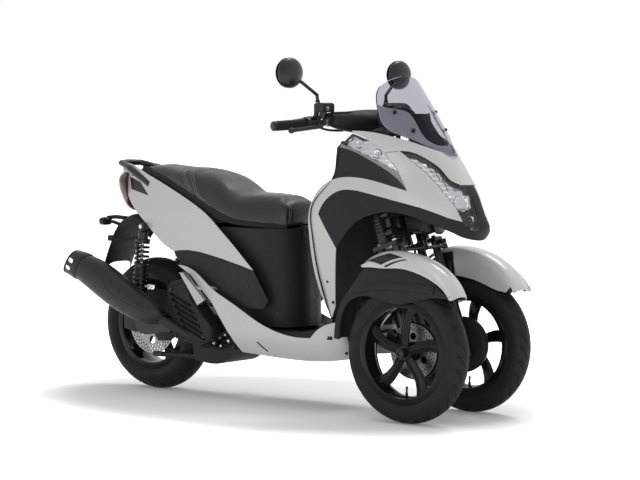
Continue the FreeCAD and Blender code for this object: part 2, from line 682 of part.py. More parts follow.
def front_rows():
    """Half sections of the front body at rising heights, from the centre line to the rear edge."""
    table = (
        (330.0, ((60.0, 0.0), (50.0, 40.0), (0.0, 90.0), (-110.0, 140.0), (-250.0, 172.0), (-440.0, 190.0))),
        (450.0, ((120.0, 0.0), (106.0, 42.0), (55.0, 94.0), (-70.0, 148.0), (-230.0, 184.0), (-440.0, 200.0))),
        (560.0, ((142.0, 0.0), (126.0, 42.0), (80.0, 95.0), (-34.0, 152.0), (-205.0, 194.0), (-440.0, 207.0))),
        (620.0, ((158.0, 0.0), (143.0, 42.0), (96.0, 95.0), (-22.0, 152.0), (-196.0, 196.0), (-440.0, 210.0))),
        (650.0, ((185.0, 0.0), (173.0, 42.0), (116.0, 95.0), (-12.0, 152.0), (-190.0, 198.0), (-440.0, 211.0))),
        (685.0, ((194.0, 0.0), (184.0, 43.0), (118.0, 97.0), (-12.0, 155.0), (-190.0, 201.0), (-440.0, 213.0))),
        (720.0, ((180.0, 0.0), (170.0, 44.0), (106.0, 98.0), (-18.0, 158.0), (-190.0, 203.0), (-440.0, 214.0))),
        (790.0, ((150.0, 0.0), (140.0, 46.0), (76.0, 98.0), (-32.0, 158.0), (-190.0, 202.0), (-430.0, 214.0))),
        (860.0, ((106.0, 0.0), (96.0, 48.0), (38.0, 98.0), (-58.0, 155.0), (-200.0, 197.0), (-420.0, 212.0))),
        (930.0, ((56.0, 0.0), (46.0, 50.0), (-2.0, 100.0), (-80.0, 155.0), (-210.0, 192.0), (-410.0, 208.0))),
        (990.0, ((8.0, 0.0), (-2.0, 50.0), (-38.0, 100.0), (-105.0, 152.0), (-225.0, 186.0), (-400.0, 200.0))),
        (1045.0, ((-40.0, 0.0), (-50.0, 45.0), (-85.0, 100.0), (-150.0, 146.0), (-250.0, 178.0), (-400.0, 192.0))),
    )
    rows = []
    for z, half in table:
        left = [fore(x, y, z) for x, y in reversed(half)]
        right = [fore(x, -y, z) for x, y in half[1:]]
        rows.append(left + right)
    return rows


HOOD_TOP = [(-253.0, 1019.0), (-111.0, 1001.0), (-25.0, 972.0), (52.0, 937.0)]
LENS_TOP = [(-72.0, 948.0), (-26.0, 940.0), (2.0, 924.0), (19.0, 914.0), (52.0, 889.0), (76.0, 862.0), (86.0, 851.0),
            (104.0, 839.0), (118.0, 831.0)]
LENS_BOTTOM = [(-72.0, 948.0), (-50.0, 930.0), (-30.0, 911.0), (-6.0, 891.0), (25.0, 862.0), (53.0, 834.0), (85.0, 797.0),
               (117.0, 759.0), (133.0, 732.0), (146.0, 705.0)]
LENS_FOOT = [(146.0, 705.0), (163.0, 686.0), (177.0, 675.0), (190.0, 668.0)]
ARCH_OUTER = [(-381.0, 722.0), (-345.0, 775.0), (-274.0, 810.0), (-216.0, 808.0), (-104.0, 783.0), (13.0, 752.0),
              (57.0, 736.0), (99.0, 719.0)]
CHIN_BROW = [(99.0, 719.0), (146.0, 705.0)]
CHIN_SEAM = [(99.0, 719.0), (109.0, 700.0), (122.0, 665.0)]
CHIN_LOW = [(122.0, 665.0), (131.0, 659.0), (150.0, 648.0), (166.0, 640.0), (182.0, 634.0)]
ARCH_INNER = [(-308.0, 602.0), (-270.0, 650.0), (-216.0, 700.0), (-155.0, 726.0), (-104.0, 735.0), (-37.0, 728.0),
              (15.0, 711.0), (74.0, 687.0), (122.0, 665.0)]
SHIELD_REAR = [(-345.0, 350.0), (-400.0, 484.0), (-427.0, 662.0), (-427.0, 716.0), (-400.0, 785.0), (-312.0, 848.0)]
BAND_LOW = [(-312.0, 848.0), (-240.0, 856.0), (-130.0, 838.0), (-33.0, 810.0)]
PANEL_TOP = [(-33.0, 810.0), (-90.0, 868.0), (-170.0, 915.0), (-250.0, 950.0), (-309.0, 961.0)]
BAND_TOP = [(-68.0, 875.0), (-130.0, 905.0), (-210.0, 940.0), (-295.0, 975.0)]
LAMP_TOP = [(-252.0, 1012.0), (-190.0, 990.0), (-120.0, 940.0)]
NOSE_X = 270.0
LENS_ROOF = 822.0
LENS_SILL = 664.0
CHIN_SILL = 630.0
STRIP_HALF = 24.0


def front_shell():
    return skin(front_rows(), WALL, BODY_CORE)


def front_panel(shell, *runs):
    return shell.common(side_prism(list(runs), -400.0, 400.0, FRONT_X))


def nose_tongue():
    """Space between the two lens strips, drawn in front view."""
    return front_prism([[(-STRIP_HALF, LENS_ROOF + 20.0), (STRIP_HALF, LENS_ROOF + 20.0)],
                        [(STRIP_HALF, LENS_ROOF + 20.0), (STRIP_HALF, 706.0)],
                        [(STRIP_HALF, 706.0), (STRIP_HALF + 16.0, 655.0)],
                        [(STRIP_HALF + 16.0, 655.0), (-STRIP_HALF - 16.0, 655.0)],
                        [(-STRIP_HALF - 16.0, 655.0), (-STRIP_HALF, 706.0)],
                        [(-STRIP_HALF, 706.0), (-STRIP_HALF, LENS_ROOF + 20.0)]], FRONT_X, FRONT_X + NOSE_X)


def hood(shell):
    return front_panel(shell, HOOD_TOP, [(52.0, 937.0), (NOSE_X, 937.0)], [(NOSE_X, 937.0), (NOSE_X, LENS_ROOF)],
                       [(NOSE_X, LENS_ROOF), LENS_TOP[-1]], LENS_TOP[::-1], [LENS_TOP[0], LAMP_TOP[-1]], LAMP_TOP[::-1])


def lens_area(shell):
    return front_panel(shell, LENS_TOP, [LENS_TOP[-1], (NOSE_X, LENS_ROOF)], [(NOSE_X, LENS_ROOF), (NOSE_X, LENS_SILL)],
                       [(NOSE_X, LENS_SILL), LENS_FOOT[-1]], LENS_FOOT[::-1], LENS_BOTTOM[::-1])


def headlight(shell):
    return lens_area(shell).cut(nose_tongue())


def chin(shell):
    """Dark lip under the lenses, with the tongue that rises between them."""
    tongue = lens_area(shell).common(nose_tongue())
    lip = front_panel(shell, CHIN_BROW, LENS_FOOT, [LENS_FOOT[-1], (NOSE_X, LENS_SILL)],
                      [(NOSE_X, LENS_SILL), (NOSE_X, CHIN_SILL)], [(NOSE_X, CHIN_SILL), CHIN_LOW[-1]], CHIN_LOW[::-1],
                      CHIN_SEAM[::-1])
    return join(lip, tongue)


def cowl_sides(shell):
    """White sides: from the nose tip back over the arch and down the leg shield."""
    return front_panel(shell, SHIELD_REAR, BAND_LOW, [(-33.0, 810.0), (-68.0, 875.0)],
                       [(-68.0, 875.0), (-120.0, 940.0)], [LAMP_TOP[-1], LENS_BOTTOM[0]],
                       LENS_BOTTOM, CHIN_BROW[::-1], ARCH_OUTER[::-1],
                       [(-381.0, 722.0), (-308.0, 602.0)], [(-308.0, 602.0), (-327.0, 389.0)],
                       [(-327.0, 389.0), (-345.0, 350.0)])


def arch_covers(shell):
    return front_panel(shell, ARCH_OUTER, CHIN_SEAM, ARCH_INNER[::-1],
                       [(-308.0, 602.0), (-381.0, 722.0)])


def side_panels(shell):
    return front_panel(shell, BAND_LOW, PANEL_TOP, [(-309.0, 961.0), (-312.0, 848.0)])


def light_bands(shell):
    return front_panel(shell, list(reversed(PANEL_TOP)), [(-33.0, 810.0), (-68.0, 875.0)], BAND_TOP,
                       [(-295.0, 975.0), (-309.0, 961.0)])


def indicators(shell):
    return front_panel(shell, list(reversed(BAND_TOP)), [(-68.0, 875.0), (-120.0, 940.0)], list(reversed(LAMP_TOP)),
                       [(-252.0, 1012.0), (-295.0, 975.0)])


SCREEN_ROWS = ((925.0, 66.0, 60.0, 24.0), (962.0, 41.0, 125.0, 92.0), (1000.0, 6.0, 170.0, 100.0), (1040.0, -25.0, 185.0, 108.0),
               (1075.0, -50.0, 185.0, 105.0), (1150.0, -104.0, 170.0, 88.0), (1215.0, -150.0, 130.0, 53.0))
SCREEN_EDGE = [(0.0, 931.0), (30.0, 934.0), (50.0, 943.0), (77.0, 962.0), (120.0, 991.0), (150.0, 1007.0), (166.0, 1022.0),
               (173.0, 1045.0), (172.0, 1070.0), (160.0, 1118.0), (146.0, 1150.0), (128.0, 1172.0), (106.0, 1187.0),
               (66.0, 1203.0), (30.0, 1210.0), (0.0, 1211.0)]
BASE_EDGE = [(0.0, 940.0), (44.0, 950.0), (77.0, 970.0), (118.0, 997.0), (148.0, 1014.0), (161.0, 1034.0), (162.0, 1070.0),
             (152.0, 1110.0)]
BASE_TOP = [(152.0, 1110.0), (138.0, 1103.0), (114.0, 1096.0), (79.0, 1087.0), (70.0, 1080.0)]
BASE_MOUTH = [(70.0, 1080.0), (66.0, 1030.0), (60.0, 986.0), (40.0, 970.0), (0.0, 966.0)]
BASE_SETBACK = 14.0


def screen_rows(setback):
    rows = []
    for z, x, half, sweep in SCREEN_ROWS:
        row = []
        for number in range(7):
            part = (number - 3) / 3.0
            row.append(fore(x - setback - sweep * abs(part) ** 1.8, -half * part, z))
        rows.append(row)
    return rows


def mirrored_outline(run):
    return [(-y, z) for y, z in run[::-1]]


def windscreen():
    """Curved screen with rounded shoulders."""
    wall = skin(screen_rows(0.0), SCREEN_T, fore(-300.0, 0, 1050.0))
    left = mirrored_outline(SCREEN_EDGE)
    return wall.common(front_prism([SCREEN_EDGE + left[1:]], FRONT_X - 400.0, FRONT_X + 100.0))


def screen_base():
    """Dark panel behind the screen: two wings round an open mouth."""
    wall = skin(screen_rows(BASE_SETBACK), WALL, fore(-300.0, 0, 1050.0))
    right = BASE_MOUTH[:-1] + mirrored_outline(BASE_MOUTH)
    outline = [mirrored_outline(BASE_EDGE)[:-1] + BASE_EDGE, BASE_TOP, right, mirrored_outline(BASE_TOP)]
    return wall.common(front_prism(outline, FRONT_X - 400.0, FRONT_X + 100.0))


def inner_leg_shield():
    """The wall behind the knees, from the floor to the bar."""
    rows = []
    for z, x, edge, half in ((300.0, -338.0, -338.0, 168.0), (420.0, -384.0, -366.0, 200.0), (520.0, -412.0, -390.0, 212.0),
                             (660.0, -438.0, -412.0, 218.0), (760.0, -436.0, -404.0, 220.0), (850.0, -405.0, -322.0, 212.0),
                             (930.0, -372.0, -304.0, 206.0), (982.0, -352.0, -294.0, 194.0)):
        row = []
        for number in range(7):
            part = (number - 3) / 3.0
            row.append(fore(x + (edge - x) * part * part, -half * part, z))
        rows.append(row)
    return skin(rows, WALL, fore(0, 0, 600.0))


def meter():
    """Dash over the head pipe, with the meter under its visor."""
    dash = loft([[fore(x + 50.0 * math.cos(math.radians(a)), y, z + 20.0 * math.sin(math.radians(a)))
                  for a in range(0, 360, 30)]
                 for y, x, z in ((-120.0, -190.0, 1000.0), (0.0, -180.0, 1022.0), (120.0, -190.0, 1000.0))])
    dial = loft([[fore(x + 30.0 * math.cos(math.radians(a)), y, z + 34.0 * math.sin(math.radians(a)))
                  for a in range(0, 360, 30)]
                 for y, x, z in ((-75.0, -190.0, 1060.0), (0.0, -180.0, 1075.0), (75.0, -190.0, 1060.0))])
    return join(dash, dial)


def floor_cover():
    """Foot boards with a raised spine up to the under-seat cover."""
    floor = side_prism([[(-345.0, FLOOR_Z), (-560.0, FLOOR_Z - 10.0)], [(-560.0, FLOOR_Z - 10.0), (-760.0, FLOOR_Z + 15.0)],
                        [(-760.0, FLOOR_Z + 15.0), (-760.0, FLOOR_Z + 3.0)],
                        [(-760.0, FLOOR_Z + 3.0), (-560.0, FLOOR_Z - 22.0)],
                        [(-560.0, FLOOR_Z - 22.0), (-345.0, FLOOR_Z - 12.0)]], -FLOOR_HALF, FLOOR_HALF, FRONT_X)
    return floor


def lower_side_covers():
    rows = []
    for z, tuck in ((180.0, 34.0), (215.0, 14.0), (260.0, 3.0), (330.0, 0.0), (420.0, 2.0), (520.0, 8.0)):
        row = []
        for x, y in ((220.0, 160.0), (330.0, 170.0), (450.0, 180.0), (600.0, 192.0), (750.0, 199.0), (880.0, 199.0),
                     (975.0, 189.0), (1030.0, 168.0), (1062.0, 130.0)):
            row.append(back(x, y - tuck, z))
        rows.append(row)
    wall = skin(rows, WALL, back(700.0, 0, 300.0))
    outline = side_prism([[(238.0, 504.0), (340.0, 479.0), (429.0, 423.0), (535.0, 376.0), (646.0, 324.0), (752.0, 286.0),
                           (861.0, 270.0), (917.0, 272.0)], [(917.0, 272.0), (972.0, 318.0), (1040.0, 334.0)],
                          [(1040.0, 334.0), (1058.0, 200.0)],
                          [(1058.0, 200.0), (928.0, 185.0), (769.0, 185.0), (571.0, 195.0)],
                          [(571.0, 195.0), (430.0, 370.0)], [(430.0, 370.0), (310.0, 470.0)]], 60.0, 260.0, REAR_X)
    return both(wall.common(outline))


def rear_rows():
    rows = []
    for z, tuck in ((360.0, 14.0), (460.0, 8.0), (560.0, 3.0), (650.0, 0.0), (740.0, 2.0), (820.0, 8.0), (900.0, 20.0)):
        row = []
        for x, y in ((-190.0, 66.0), (-100.0, 86.0), (0.0, 104.0), (110.0, 120.0), (250.0, 140.0), (400.0, 158.0),
                     (540.0, 174.0), (700.0, 184.0)):
            row.append(back(x, y - tuck, z))
        rows.append(row)
    return rows


REAR_UPPER = [(-135.0, 884.0), (-100.0, 885.0), (-13.0, 859.0), (110.0, 816.0), (205.0, 781.0), (318.0, 734.0), (390.0, 696.0),
              (459.0, 645.0), (517.0, 600.0), (575.0, 550.0), (629.0, 502.0)]
REAR_SPLIT = [(629.0, 502.0), (567.0, 516.0), (461.0, 538.0), (341.0, 557.0), (278.0, 561.0), (194.0, 553.0)]
REAR_BACK = [(194.0, 553.0), (113.0, 591.0), (29.0, 655.0), (-52.0, 718.0), (-98.0, 779.0), (-135.0, 884.0)]
REAR_LOW = [(194.0, 553.0), (213.0, 527.0), (314.0, 484.0), (422.0, 430.0), (528.0, 382.0), (640.0, 350.0), (700.0, 392.0),
            (629.0, 502.0)]


def rear_panel(*runs):
    wall = skin(rear_rows(), WALL, back(250.0, 0, 600.0))
    return both(wall.common(side_prism(list(runs), 20.0, 260.0, REAR_X)))


def rear_side_covers():
    return rear_panel(REAR_UPPER, REAR_SPLIT, REAR_BACK)


def rear_lower_covers():
    return rear_panel(list(reversed(REAR_SPLIT)), REAR_LOW[-1:] + REAR_LOW[-2:-1], list(reversed(REAR_LOW))[1:])


def seat_base():
    """Under-seat cover with the storage bin, open at the top."""
    outer = []
    for z, front, rear, half in ((292.0, 765.0, 520.0, 118.0), (400.0, 764.0, 440.0, 120.0), (500.0, 762.0, 330.0, 122.0),
                                 (600.0, 758.0, 240.0, 124.0), (SEAT_RIM, 752.0, 225.0, 124.0)):
        outer.append([back(front, 0, z), back(front - 14.0, -half * 0.6, z), back(front - 60.0, -half, z),
                      back((front + rear) / 2.0, -half - 12.0, z), back(rear + 30.0, -half + 8.0, z), back(rear, -half * 0.5, z),
                      back(rear, half * 0.5, z), back(rear + 30.0, half - 8.0, z),
                      back((front + rear) / 2.0, half + 12.0, z), back(front - 60.0, half, z), back(front - 14.0, half * 0.6, z)])
    body = loft(outer)
    bin_space = loft([[back(front, 0, z), back(front - 14.0, -half * 0.6, z), back(front - 60.0, -half, z),
                       back((front + rear) / 2.0, -half - 4.0, z), back(rear + 30.0, -half, z), back(rear, -half * 0.5, z),
                       back(rear, half * 0.5, z), back(rear + 30.0, half, z), back((front + rear) / 2.0, half + 4.0, z),
                       back(front - 60.0, half, z), back(front - 14.0, half * 0.6, z)]
                      for z, front, rear, half in ((440.0, 730.0, 480.0, 92.0), (520.0, 735.0, 380.0, 98.0),
                                                   (SEAT_RIM + 5.0, 735.0, 260.0, 104.0))])
    ears = [block(REAR_X + HINGE_X - 9.0, REAR_X + HINGE_X + 9.0, min(y, y + w), max(y, y + w), SEAT_RIM - 30.0, HINGE_Z + 9.0)
            for y, w in ((HINGE_HALF + 2.0, 7.0), (-HINGE_HALF - 2.0, -7.0))]
    pin = rod(back(HINGE_X, -HINGE_HALF - 9.0, HINGE_Z), back(HINGE_X, HINGE_HALF + 9.0, HINGE_Z), HINGE_PIN_R)
    barrel = rod(back(HINGE_X, -HINGE_HALF - 1.5, HINGE_Z), back(HINGE_X, HINGE_HALF + 1.5, HINGE_Z), HINGE_R + 3.0)
    return join(body.cut(bin_space).cut(barrel), pin, *ears)


SEAT_SECTIONS = ((-45.0, 872.0, 850.0, 58.0), (20.0, 880.0, 838.0, 76.0), (110.0, 878.0, 818.0, 96.0), (205.0, 876.0, 781.0, 116.0),
                 (290.0, 868.0, 752.0, 130.0), (345.0, 852.0, 728.0, 138.0), (400.0, 830.0, 705.0, 144.0),
                 (460.0, 793.0, 680.0, 148.0), (520.0, 780.0, 666.0, 146.0), (600.0, 778.0, 660.0, 134.0),
                 (680.0, 772.0, 655.0, 116.0), (730.0, 742.0, 655.0, 92.0))


def seat_pan():
    """Base plate under the cushion, with the hinge barrel in front."""
    wires = []
    for x, top, low, half in SEAT_SECTIONS:
        edge = half * 0.7
        corners = [back(x, -edge, low + 0.6), back(x, edge, low + 0.6), back(x, edge, low + SEAT_GAP - 1.8),
                   back(x, -edge, low + SEAT_GAP - 1.8)]
        wires.append(Part.makePolygon(corners + corners[:1]))
    plate = Part.makeLoft(wires, True).common(block(REAR_X + 110.0, REAR_X + 700.0, -200.0, 200.0, 600.0, 900.0))
    tongue = block(REAR_X + 660.0, REAR_X + HINGE_X, -HINGE_HALF, HINGE_HALF, SEAT_RIM + 0.5, SEAT_RIM + 3.5)
    barrel = rod(back(HINGE_X, -HINGE_HALF, HINGE_Z), back(HINGE_X, HINGE_HALF, HINGE_Z), HINGE_R)
    bore = rod(back(HINGE_X, -HINGE_HALF - 1.0, HINGE_Z), back(HINGE_X, HINGE_HALF + 1.0, HINGE_Z), HINGE_PIN_R + RUNNING_GAP)
    return join(plate, tongue, barrel).cut(bore)


def seat():
    """Two-level cushion on its base, as one padded form."""
    sections = []
    for x, top, low, half in SEAT_SECTIONS:
        low += SEAT_GAP
        mid = low + (top - low) * 0.45
        sections.append([back(x, 0, top), back(x, -half * 0.55, top - 4.0), back(x, -half * 0.92, top - (top - mid) * 0.45),
                         back(x, -half, mid), back(x, -half * 0.96, low + 4.0), back(x, -half * 0.5, low),
                         back(x, 0, low), back(x, half * 0.5, low), back(x, half * 0.96, low + 4.0),
                         back(x, half, mid), back(x, half * 0.92, top - (top - mid) * 0.45), back(x, half * 0.55, top - 4.0)])
    return loft(sections)


def tail_lamp():
    return loft([[back(x, y * w, z) for y, z in ((-1.0, low), (-1.0, high), (0.0, high + 8.0), (1.0, high), (1.0, low),
                                                 (0.0, low - 6.0))]
                 for x, w, low, high in ((-88.0, 70.0, 722.0, 850.0), (-132.0, 62.0, 737.0, 848.0), (-154.0, 46.0, 762.0, 840.0))])


def grab_rail():
    parts = []
    for side in (-1, 1):
        parts.append(bent_rod([back(40.0, side * 99.0, 806.0), back(-80.0, side * 84.0, 866.0), back(-150.0, side * 55.0, 884.0),
                               back(-170.0, 0, 886.0)], 12.0))
    return join(*parts)


def passenger_pegs():
    parts = []
    for side in (-1, 1):
        peg = side_prism([[(281.0, 480.0), (302.0, 478.0)], [(302.0, 478.0), (407.0, 381.0)], [(407.0, 381.0), (372.0, 360.0)],
                          [(372.0, 360.0), (281.0, 480.0)]], 176.0, 196.0, REAR_X)
        peg = join(peg, rod(back(417.0, 108.0, 425.0), back(352.0, 184.0, 420.0), 10.0))
        parts.append(peg if side > 0 else mirrored(peg))
    return Part.makeCompound(parts)


# Fenders, drawn by angle about the front axle: 0 ahead, 90 above, 180 behind

def fender_grid(side, table):
    rows = []
    for angle, section in table:
        a = math.radians(angle)
        row = []
        for w, r in section:
            row.append(V(FRONT_X + r * math.cos(a), side * (WHEEL_Y + w), FRONT_AXLE_Z + r * math.sin(a)))
        rows.append(row)
    return rows


def fender_base(side):
    table = []
    for angle, crown, low in ((44.0, 294.0, 286.0), (56.0, 308.0, 240.0), (70.0, 318.0, 196.0), (89.0, 332.0, 172.0),
                              (106.0, 342.0, 184.0), (118.0, 338.0, 212.0), (130.0, 326.0, 250.0), (142.0, 314.0, 276.0),
                              (158.0, 300.0, 274.0), (173.0, 286.0, 266.0)):
        table.append((angle, ((-48.0, crown - 24.0), (-42.0, crown - 8.0), (-15.0, crown), (18.0, crown), (42.0, crown - 12.0),
                              (53.0, (crown * 2 + low) / 3.0), (55.0, low))))
    base = skin(fender_grid(side, table), WALL, V(FRONT_X, side * WHEEL_Y, FRONT_AXLE_Z))
    return join(base, *fender_bosses(side))


def fender_bosses(side):
    """Screw bosses between the dark base and the painted cover."""
    centre = V(FRONT_X, side * WHEEL_Y, FRONT_AXLE_Z)
    bosses = []
    for angle, crown in ((62.0, 312.0), (84.0, 329.0), (102.0, 341.0)):
        along = V(math.cos(math.radians(angle)), 0, math.sin(math.radians(angle)))
        bosses.append(rod(centre + along * (crown - 2.0), centre + along * (crown + 5.5), 5.0))
    return bosses


def fender_cover(side):
    table = []
    for angle, crown, low in ((42.0, 299.0, 292.0), (51.0, 314.0, 298.0), (62.0, 325.0, 296.0), (76.0, 334.0, 294.0),
                              (90.0, 343.0, 296.0), (102.0, 352.0, 300.0), (112.0, 353.0, 318.0),
                              (118.0, 350.0, 332.0)):
        table.append((angle, ((-46.0, crown - 12.0), (-40.0, crown - 2.0), (-15.0, crown + 6.0), (18.0, crown + 6.0),
                              (44.0, crown - 6.0), (60.0, (crown + low) / 2.0), (61.0, low))))
    cover = skin(fender_grid(side, table), WALL, V(FRONT_X, side * WHEEL_Y, FRONT_AXLE_Z))
    return cover.cut(Part.makeCompound(fender_bosses(side)))


# Stands

STAND_LENGTH = STAND_Z + 6.0
STAND_SPREAD = 118.0


def centre_stand():
    """Centre stand, folded back under the engine: it swings down to the floor."""
    reach = V(-STAND_LENGTH, 0, 0)
    parts = [rod(back(STAND_X, -88.0, STAND_Z), back(STAND_X, 88.0, STAND_Z), STAND_PIVOT_R)]
    for side in (-1, 1):
        foot = back(STAND_X, side * STAND_SPREAD, STAND_Z) + reach
        parts.append(bent_rod([back(STAND_X, side * 82.0, STAND_Z), foot], 10.0))
        parts.append(rod(foot + V(-24.0, 0, 0), foot + V(24.0, 0, 0), 10.0).common(
            block(foot.x - 40.0, foot.x + 40.0, foot.y - 20.0, foot.y + 20.0, foot.z - 10.0, foot.z + 10.0)))
    return join(*parts)


def side_stand():
    leg = bent_rod([back(560.0, 136.0, 200.0), back(420.0, 160.0, 166.0), back(362.0, 166.0, 152.0)], 9.0)
    boss = rod(back(560.0, 106.0, 200.0), back(560.0, 150.0, 200.0), 12.0)
    return join(leg, boss).cut(rod(back(560.0, 100.0, 200.0), back(560.0, 160.0, 200.0), 5.0 + RUNNING_GAP))


# Each piece is cut to fit round the pieces named after it
FITTED = (
    ("windscreen", ("hood",)),
    ("screen_base", ("hood", "windscreen")),
    ("controls", ("handlebar", "handlebar_cover")),
    ("mirrors", ("controls",)),
    ("handlebar_cover", ("handlebar",)),
    ("grips", ("handlebar",)),
    ("drive_case", ("swing_arm",)),
    ("rear_shocks", ("drive_case", "swing_arm", "frame")),
    ("engine", ("swing_arm", "drive_case", "frame")),
    ("passenger_pegs", ("frame", "lower_side_covers")),
    ("seat_base", ("frame", "engine")),
    ("floor_cover", ("frame", "lower_side_covers", "seat_base")),
    ("inner_leg_shield", ("frame", "floor_cover", "lower_side_covers", "cowl_sides", "side_panels", "light_bands", "indicators", "hood")),
    ("rear_side_covers", ("grab_rail", "tail_lamp", "rear_shocks", "frame")),
    ("rear_lower_covers", ("passenger_pegs", "lower_side_covers")),
    ("rear_mudguard", ("frame",)),
    ("meter", ("frame",)),
    ("muffler", ("swing_arm", "engine")),
    ("radiator_guard", ("swing_arm", "muffler")),
    ("fender_base_left", ("fork_left",)),
    ("fender_base_right", ("fork_right",)),
    ("tyre_front_left", ("rim_front_left",)),
    ("tyre_front_right", ("rim_front_right",)),
    ("tyre_rear", ("rim_rear",)),
)
WHOLE = ("inner_leg_shield", "screen_base", "windscreen", "muffler")


def build():
    """All sub-parts by name."""
    shell = front_shell()
    nodes = {
        "frame": frame(),
        "lean_linkage": lean_linkage(),
        "engine": engine(),
        "drive_case": drive_case(),
        "swing_arm": swing_arm(),
        "radiator_guard": radiator_guard(),
        "muffler": muffler(),
        "rear_shocks": rear_shocks(),
        "rear_mudguard": rear_mudguard(),
        "floor_cover": floor_cover(),
        "lower_side_covers": lower_side_covers(),
        "rear_side_covers": rear_side_covers(),
        "rear_lower_covers": rear_lower_covers(),
        "seat_base": seat_base(),
        "tail_lamp": tail_lamp(),
        "grab_rail": grab_rail(),
        "cowl_sides": cowl_sides(shell),
        "inner_leg_shield": inner_leg_shield(),
        "hood": hood(shell),
        "arch_covers": arch_covers(shell),
        "chin": chin(shell),
        "side_panels": side_panels(shell),
        "light_bands": light_bands(shell),
        "headlight": headlight(shell),
        "indicators": indicators(shell),
        "windscreen": windscreen(),
        "screen_base": screen_base(),
        "meter": meter(),
        "passenger_pegs": passenger_pegs(),
        "handlebar": handlebar(),
        "handlebar_cover": handlebar_cover(),
        "grips": grips(),
        "controls": controls(),
        "mirrors": mirrors(),
        "tie_rod": tie_rod(),
        "centre_stand": centre_stand(),
        "side_stand": side_stand(),
        "seat": seat(),
        "seat_pan": seat_pan(),
    }
    for side, word in ((1, "left"), (-1, "right")):
        nodes["fork_" + word] = join(fork(side), front_caliper(side))
        nodes["fender_base_" + word] = fender_base(side)
        nodes["fender_cover_" + word] = fender_cover(side)
        for piece, shape in front_wheel(side).items():
            nodes[piece + "_front_" + word] = shape
    for piece, shape in rear_wheel().items():
        nodes[piece + "_rear"] = shape
    for name, others in FITTED:
        nodes[name] = nodes[name].cut(Part.makeCompound([nodes[other] for other in others]))
    for name in WHOLE:
        nodes[name] = largest(nodes[name])
    return nodes


def main():
    os.makedirs("parts", exist_ok=True)
    for name, shape in build().items():
        shape.exportStep(os.path.join("parts", name + ".step"))


main()
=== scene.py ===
"""Finishes and fine pieces of a scooter that leans on two steered front wheels.

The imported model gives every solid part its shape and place. This file gives each of them a finish and
adds what a person would see up close: the padded seat, the treaded tyres, the drilled discs, the lamp
insides, springs, stitches, screws and seams. Lengths are in metres, in the model's own frame: +X forward,
+Y to the rider's left, +Z up. The places of points are mostly written in millimetres.
"""
import math

import bmesh
import bpy
import numpy as np
from mathutils import Matrix, Vector
from mathutils.bvhtree import BVHTree
from mathutils.kdtree import KDTree


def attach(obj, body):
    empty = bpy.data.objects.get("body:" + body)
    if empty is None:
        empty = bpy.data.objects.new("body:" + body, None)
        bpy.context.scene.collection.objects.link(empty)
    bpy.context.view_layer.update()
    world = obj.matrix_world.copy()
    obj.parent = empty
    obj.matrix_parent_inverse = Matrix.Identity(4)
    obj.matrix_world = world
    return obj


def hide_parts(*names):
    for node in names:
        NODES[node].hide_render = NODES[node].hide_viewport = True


bl_info = {
    "name": "Reverse trike looks",
    "version": (1, 0, 0),
    "blender": (4, 5, 0),
    "location": "View3D > Sidebar > Trike",
    "description": "Finishes and fine pieces of a leaning scooter with two front wheels",
    "category": "Add Mesh",
}

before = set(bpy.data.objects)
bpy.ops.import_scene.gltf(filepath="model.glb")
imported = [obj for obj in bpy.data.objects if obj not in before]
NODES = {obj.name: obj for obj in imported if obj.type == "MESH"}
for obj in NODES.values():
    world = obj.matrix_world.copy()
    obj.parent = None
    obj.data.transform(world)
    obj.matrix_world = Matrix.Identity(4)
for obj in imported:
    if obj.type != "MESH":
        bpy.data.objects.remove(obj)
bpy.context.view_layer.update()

REAR_X = -0.650
FRONT_X = 0.700
WHEEL_Y = 0.1925
FRONT_TYRE_R = 0.250
REAR_TYRE_R = 0.258
FRONT_TYRE_WIDTH = 0.090
REAR_TYRE_WIDTH = 0.130
FRONT_RIM_R = 0.184
REAR_RIM_R = 0.178
FRONT_DISC_R = 0.098
REAR_DISC_R = 0.117
DISC_BORE_R = 0.012
DISC_THICKNESS = 0.004
CASTER = math.radians(20.0)
TRAIL = 0.068
SIDES = ((1, "left"), (-1, "right"))
MM = 0.001
BESIDE = 0.7
BEYOND = 1.6
FORWARD = (1, 0, 0)
LEFTWARD = (0, 1, 0)
UPWARD = (0, 0, 1)


# Objects

def linked(name, data):
    """A new object in the scene."""
    made = bpy.data.objects.new(name, data)
    bpy.context.scene.collection.objects.link(made)
    return made


def baked(holder):
    """The plain mesh of an object with its modifiers or its curve worked out. The object is removed."""
    mesh = bpy.data.meshes.new_from_object(holder.evaluated_get(bpy.context.evaluated_depsgraph_get()))
    holder.modifiers.clear()
    bpy.data.objects.remove(holder)
    return mesh


def mesh_of(name, shape):
    """A mesh of points and faces."""
    mesh = bpy.data.meshes.new(name)
    mesh.from_pydata(shape[0], [], shape[1])
    return mesh


# Places

def back(x, y, z):
    """A point in millimetres forward of the rear axle."""
    return Vector((REAR_X + x * MM, y * MM, z * MM))


def fore(x, y, z):
    """A point in millimetres forward of the front axle."""
    return Vector((FRONT_X + x * MM, y * MM, z * MM))


def steer(s, f=0.0, y=0.0):
    """A point s millimetres up the steering axis from the floor, f in front of it and y to its left."""
    up = Vector((-math.sin(CASTER), 0.0, math.cos(CASTER)))
    ahead = Vector((math.cos(CASTER), 0.0, math.sin(CASTER)))
    return Vector((FRONT_X + TRAIL, y * MM, 0.0)) + up * s * MM + ahead * f * MM


SURFACES = {}


def surface_of(name):
    """The search tree of a CAD node's triangles."""
    if name not in SURFACES:
        mesh = NODES[name].data
        corners = [v.co for v in mesh.vertices]
        SURFACES[name] = BVHTree.FromPolygons(corners, [p.vertices for p in mesh.polygons])
    return SURFACES[name]


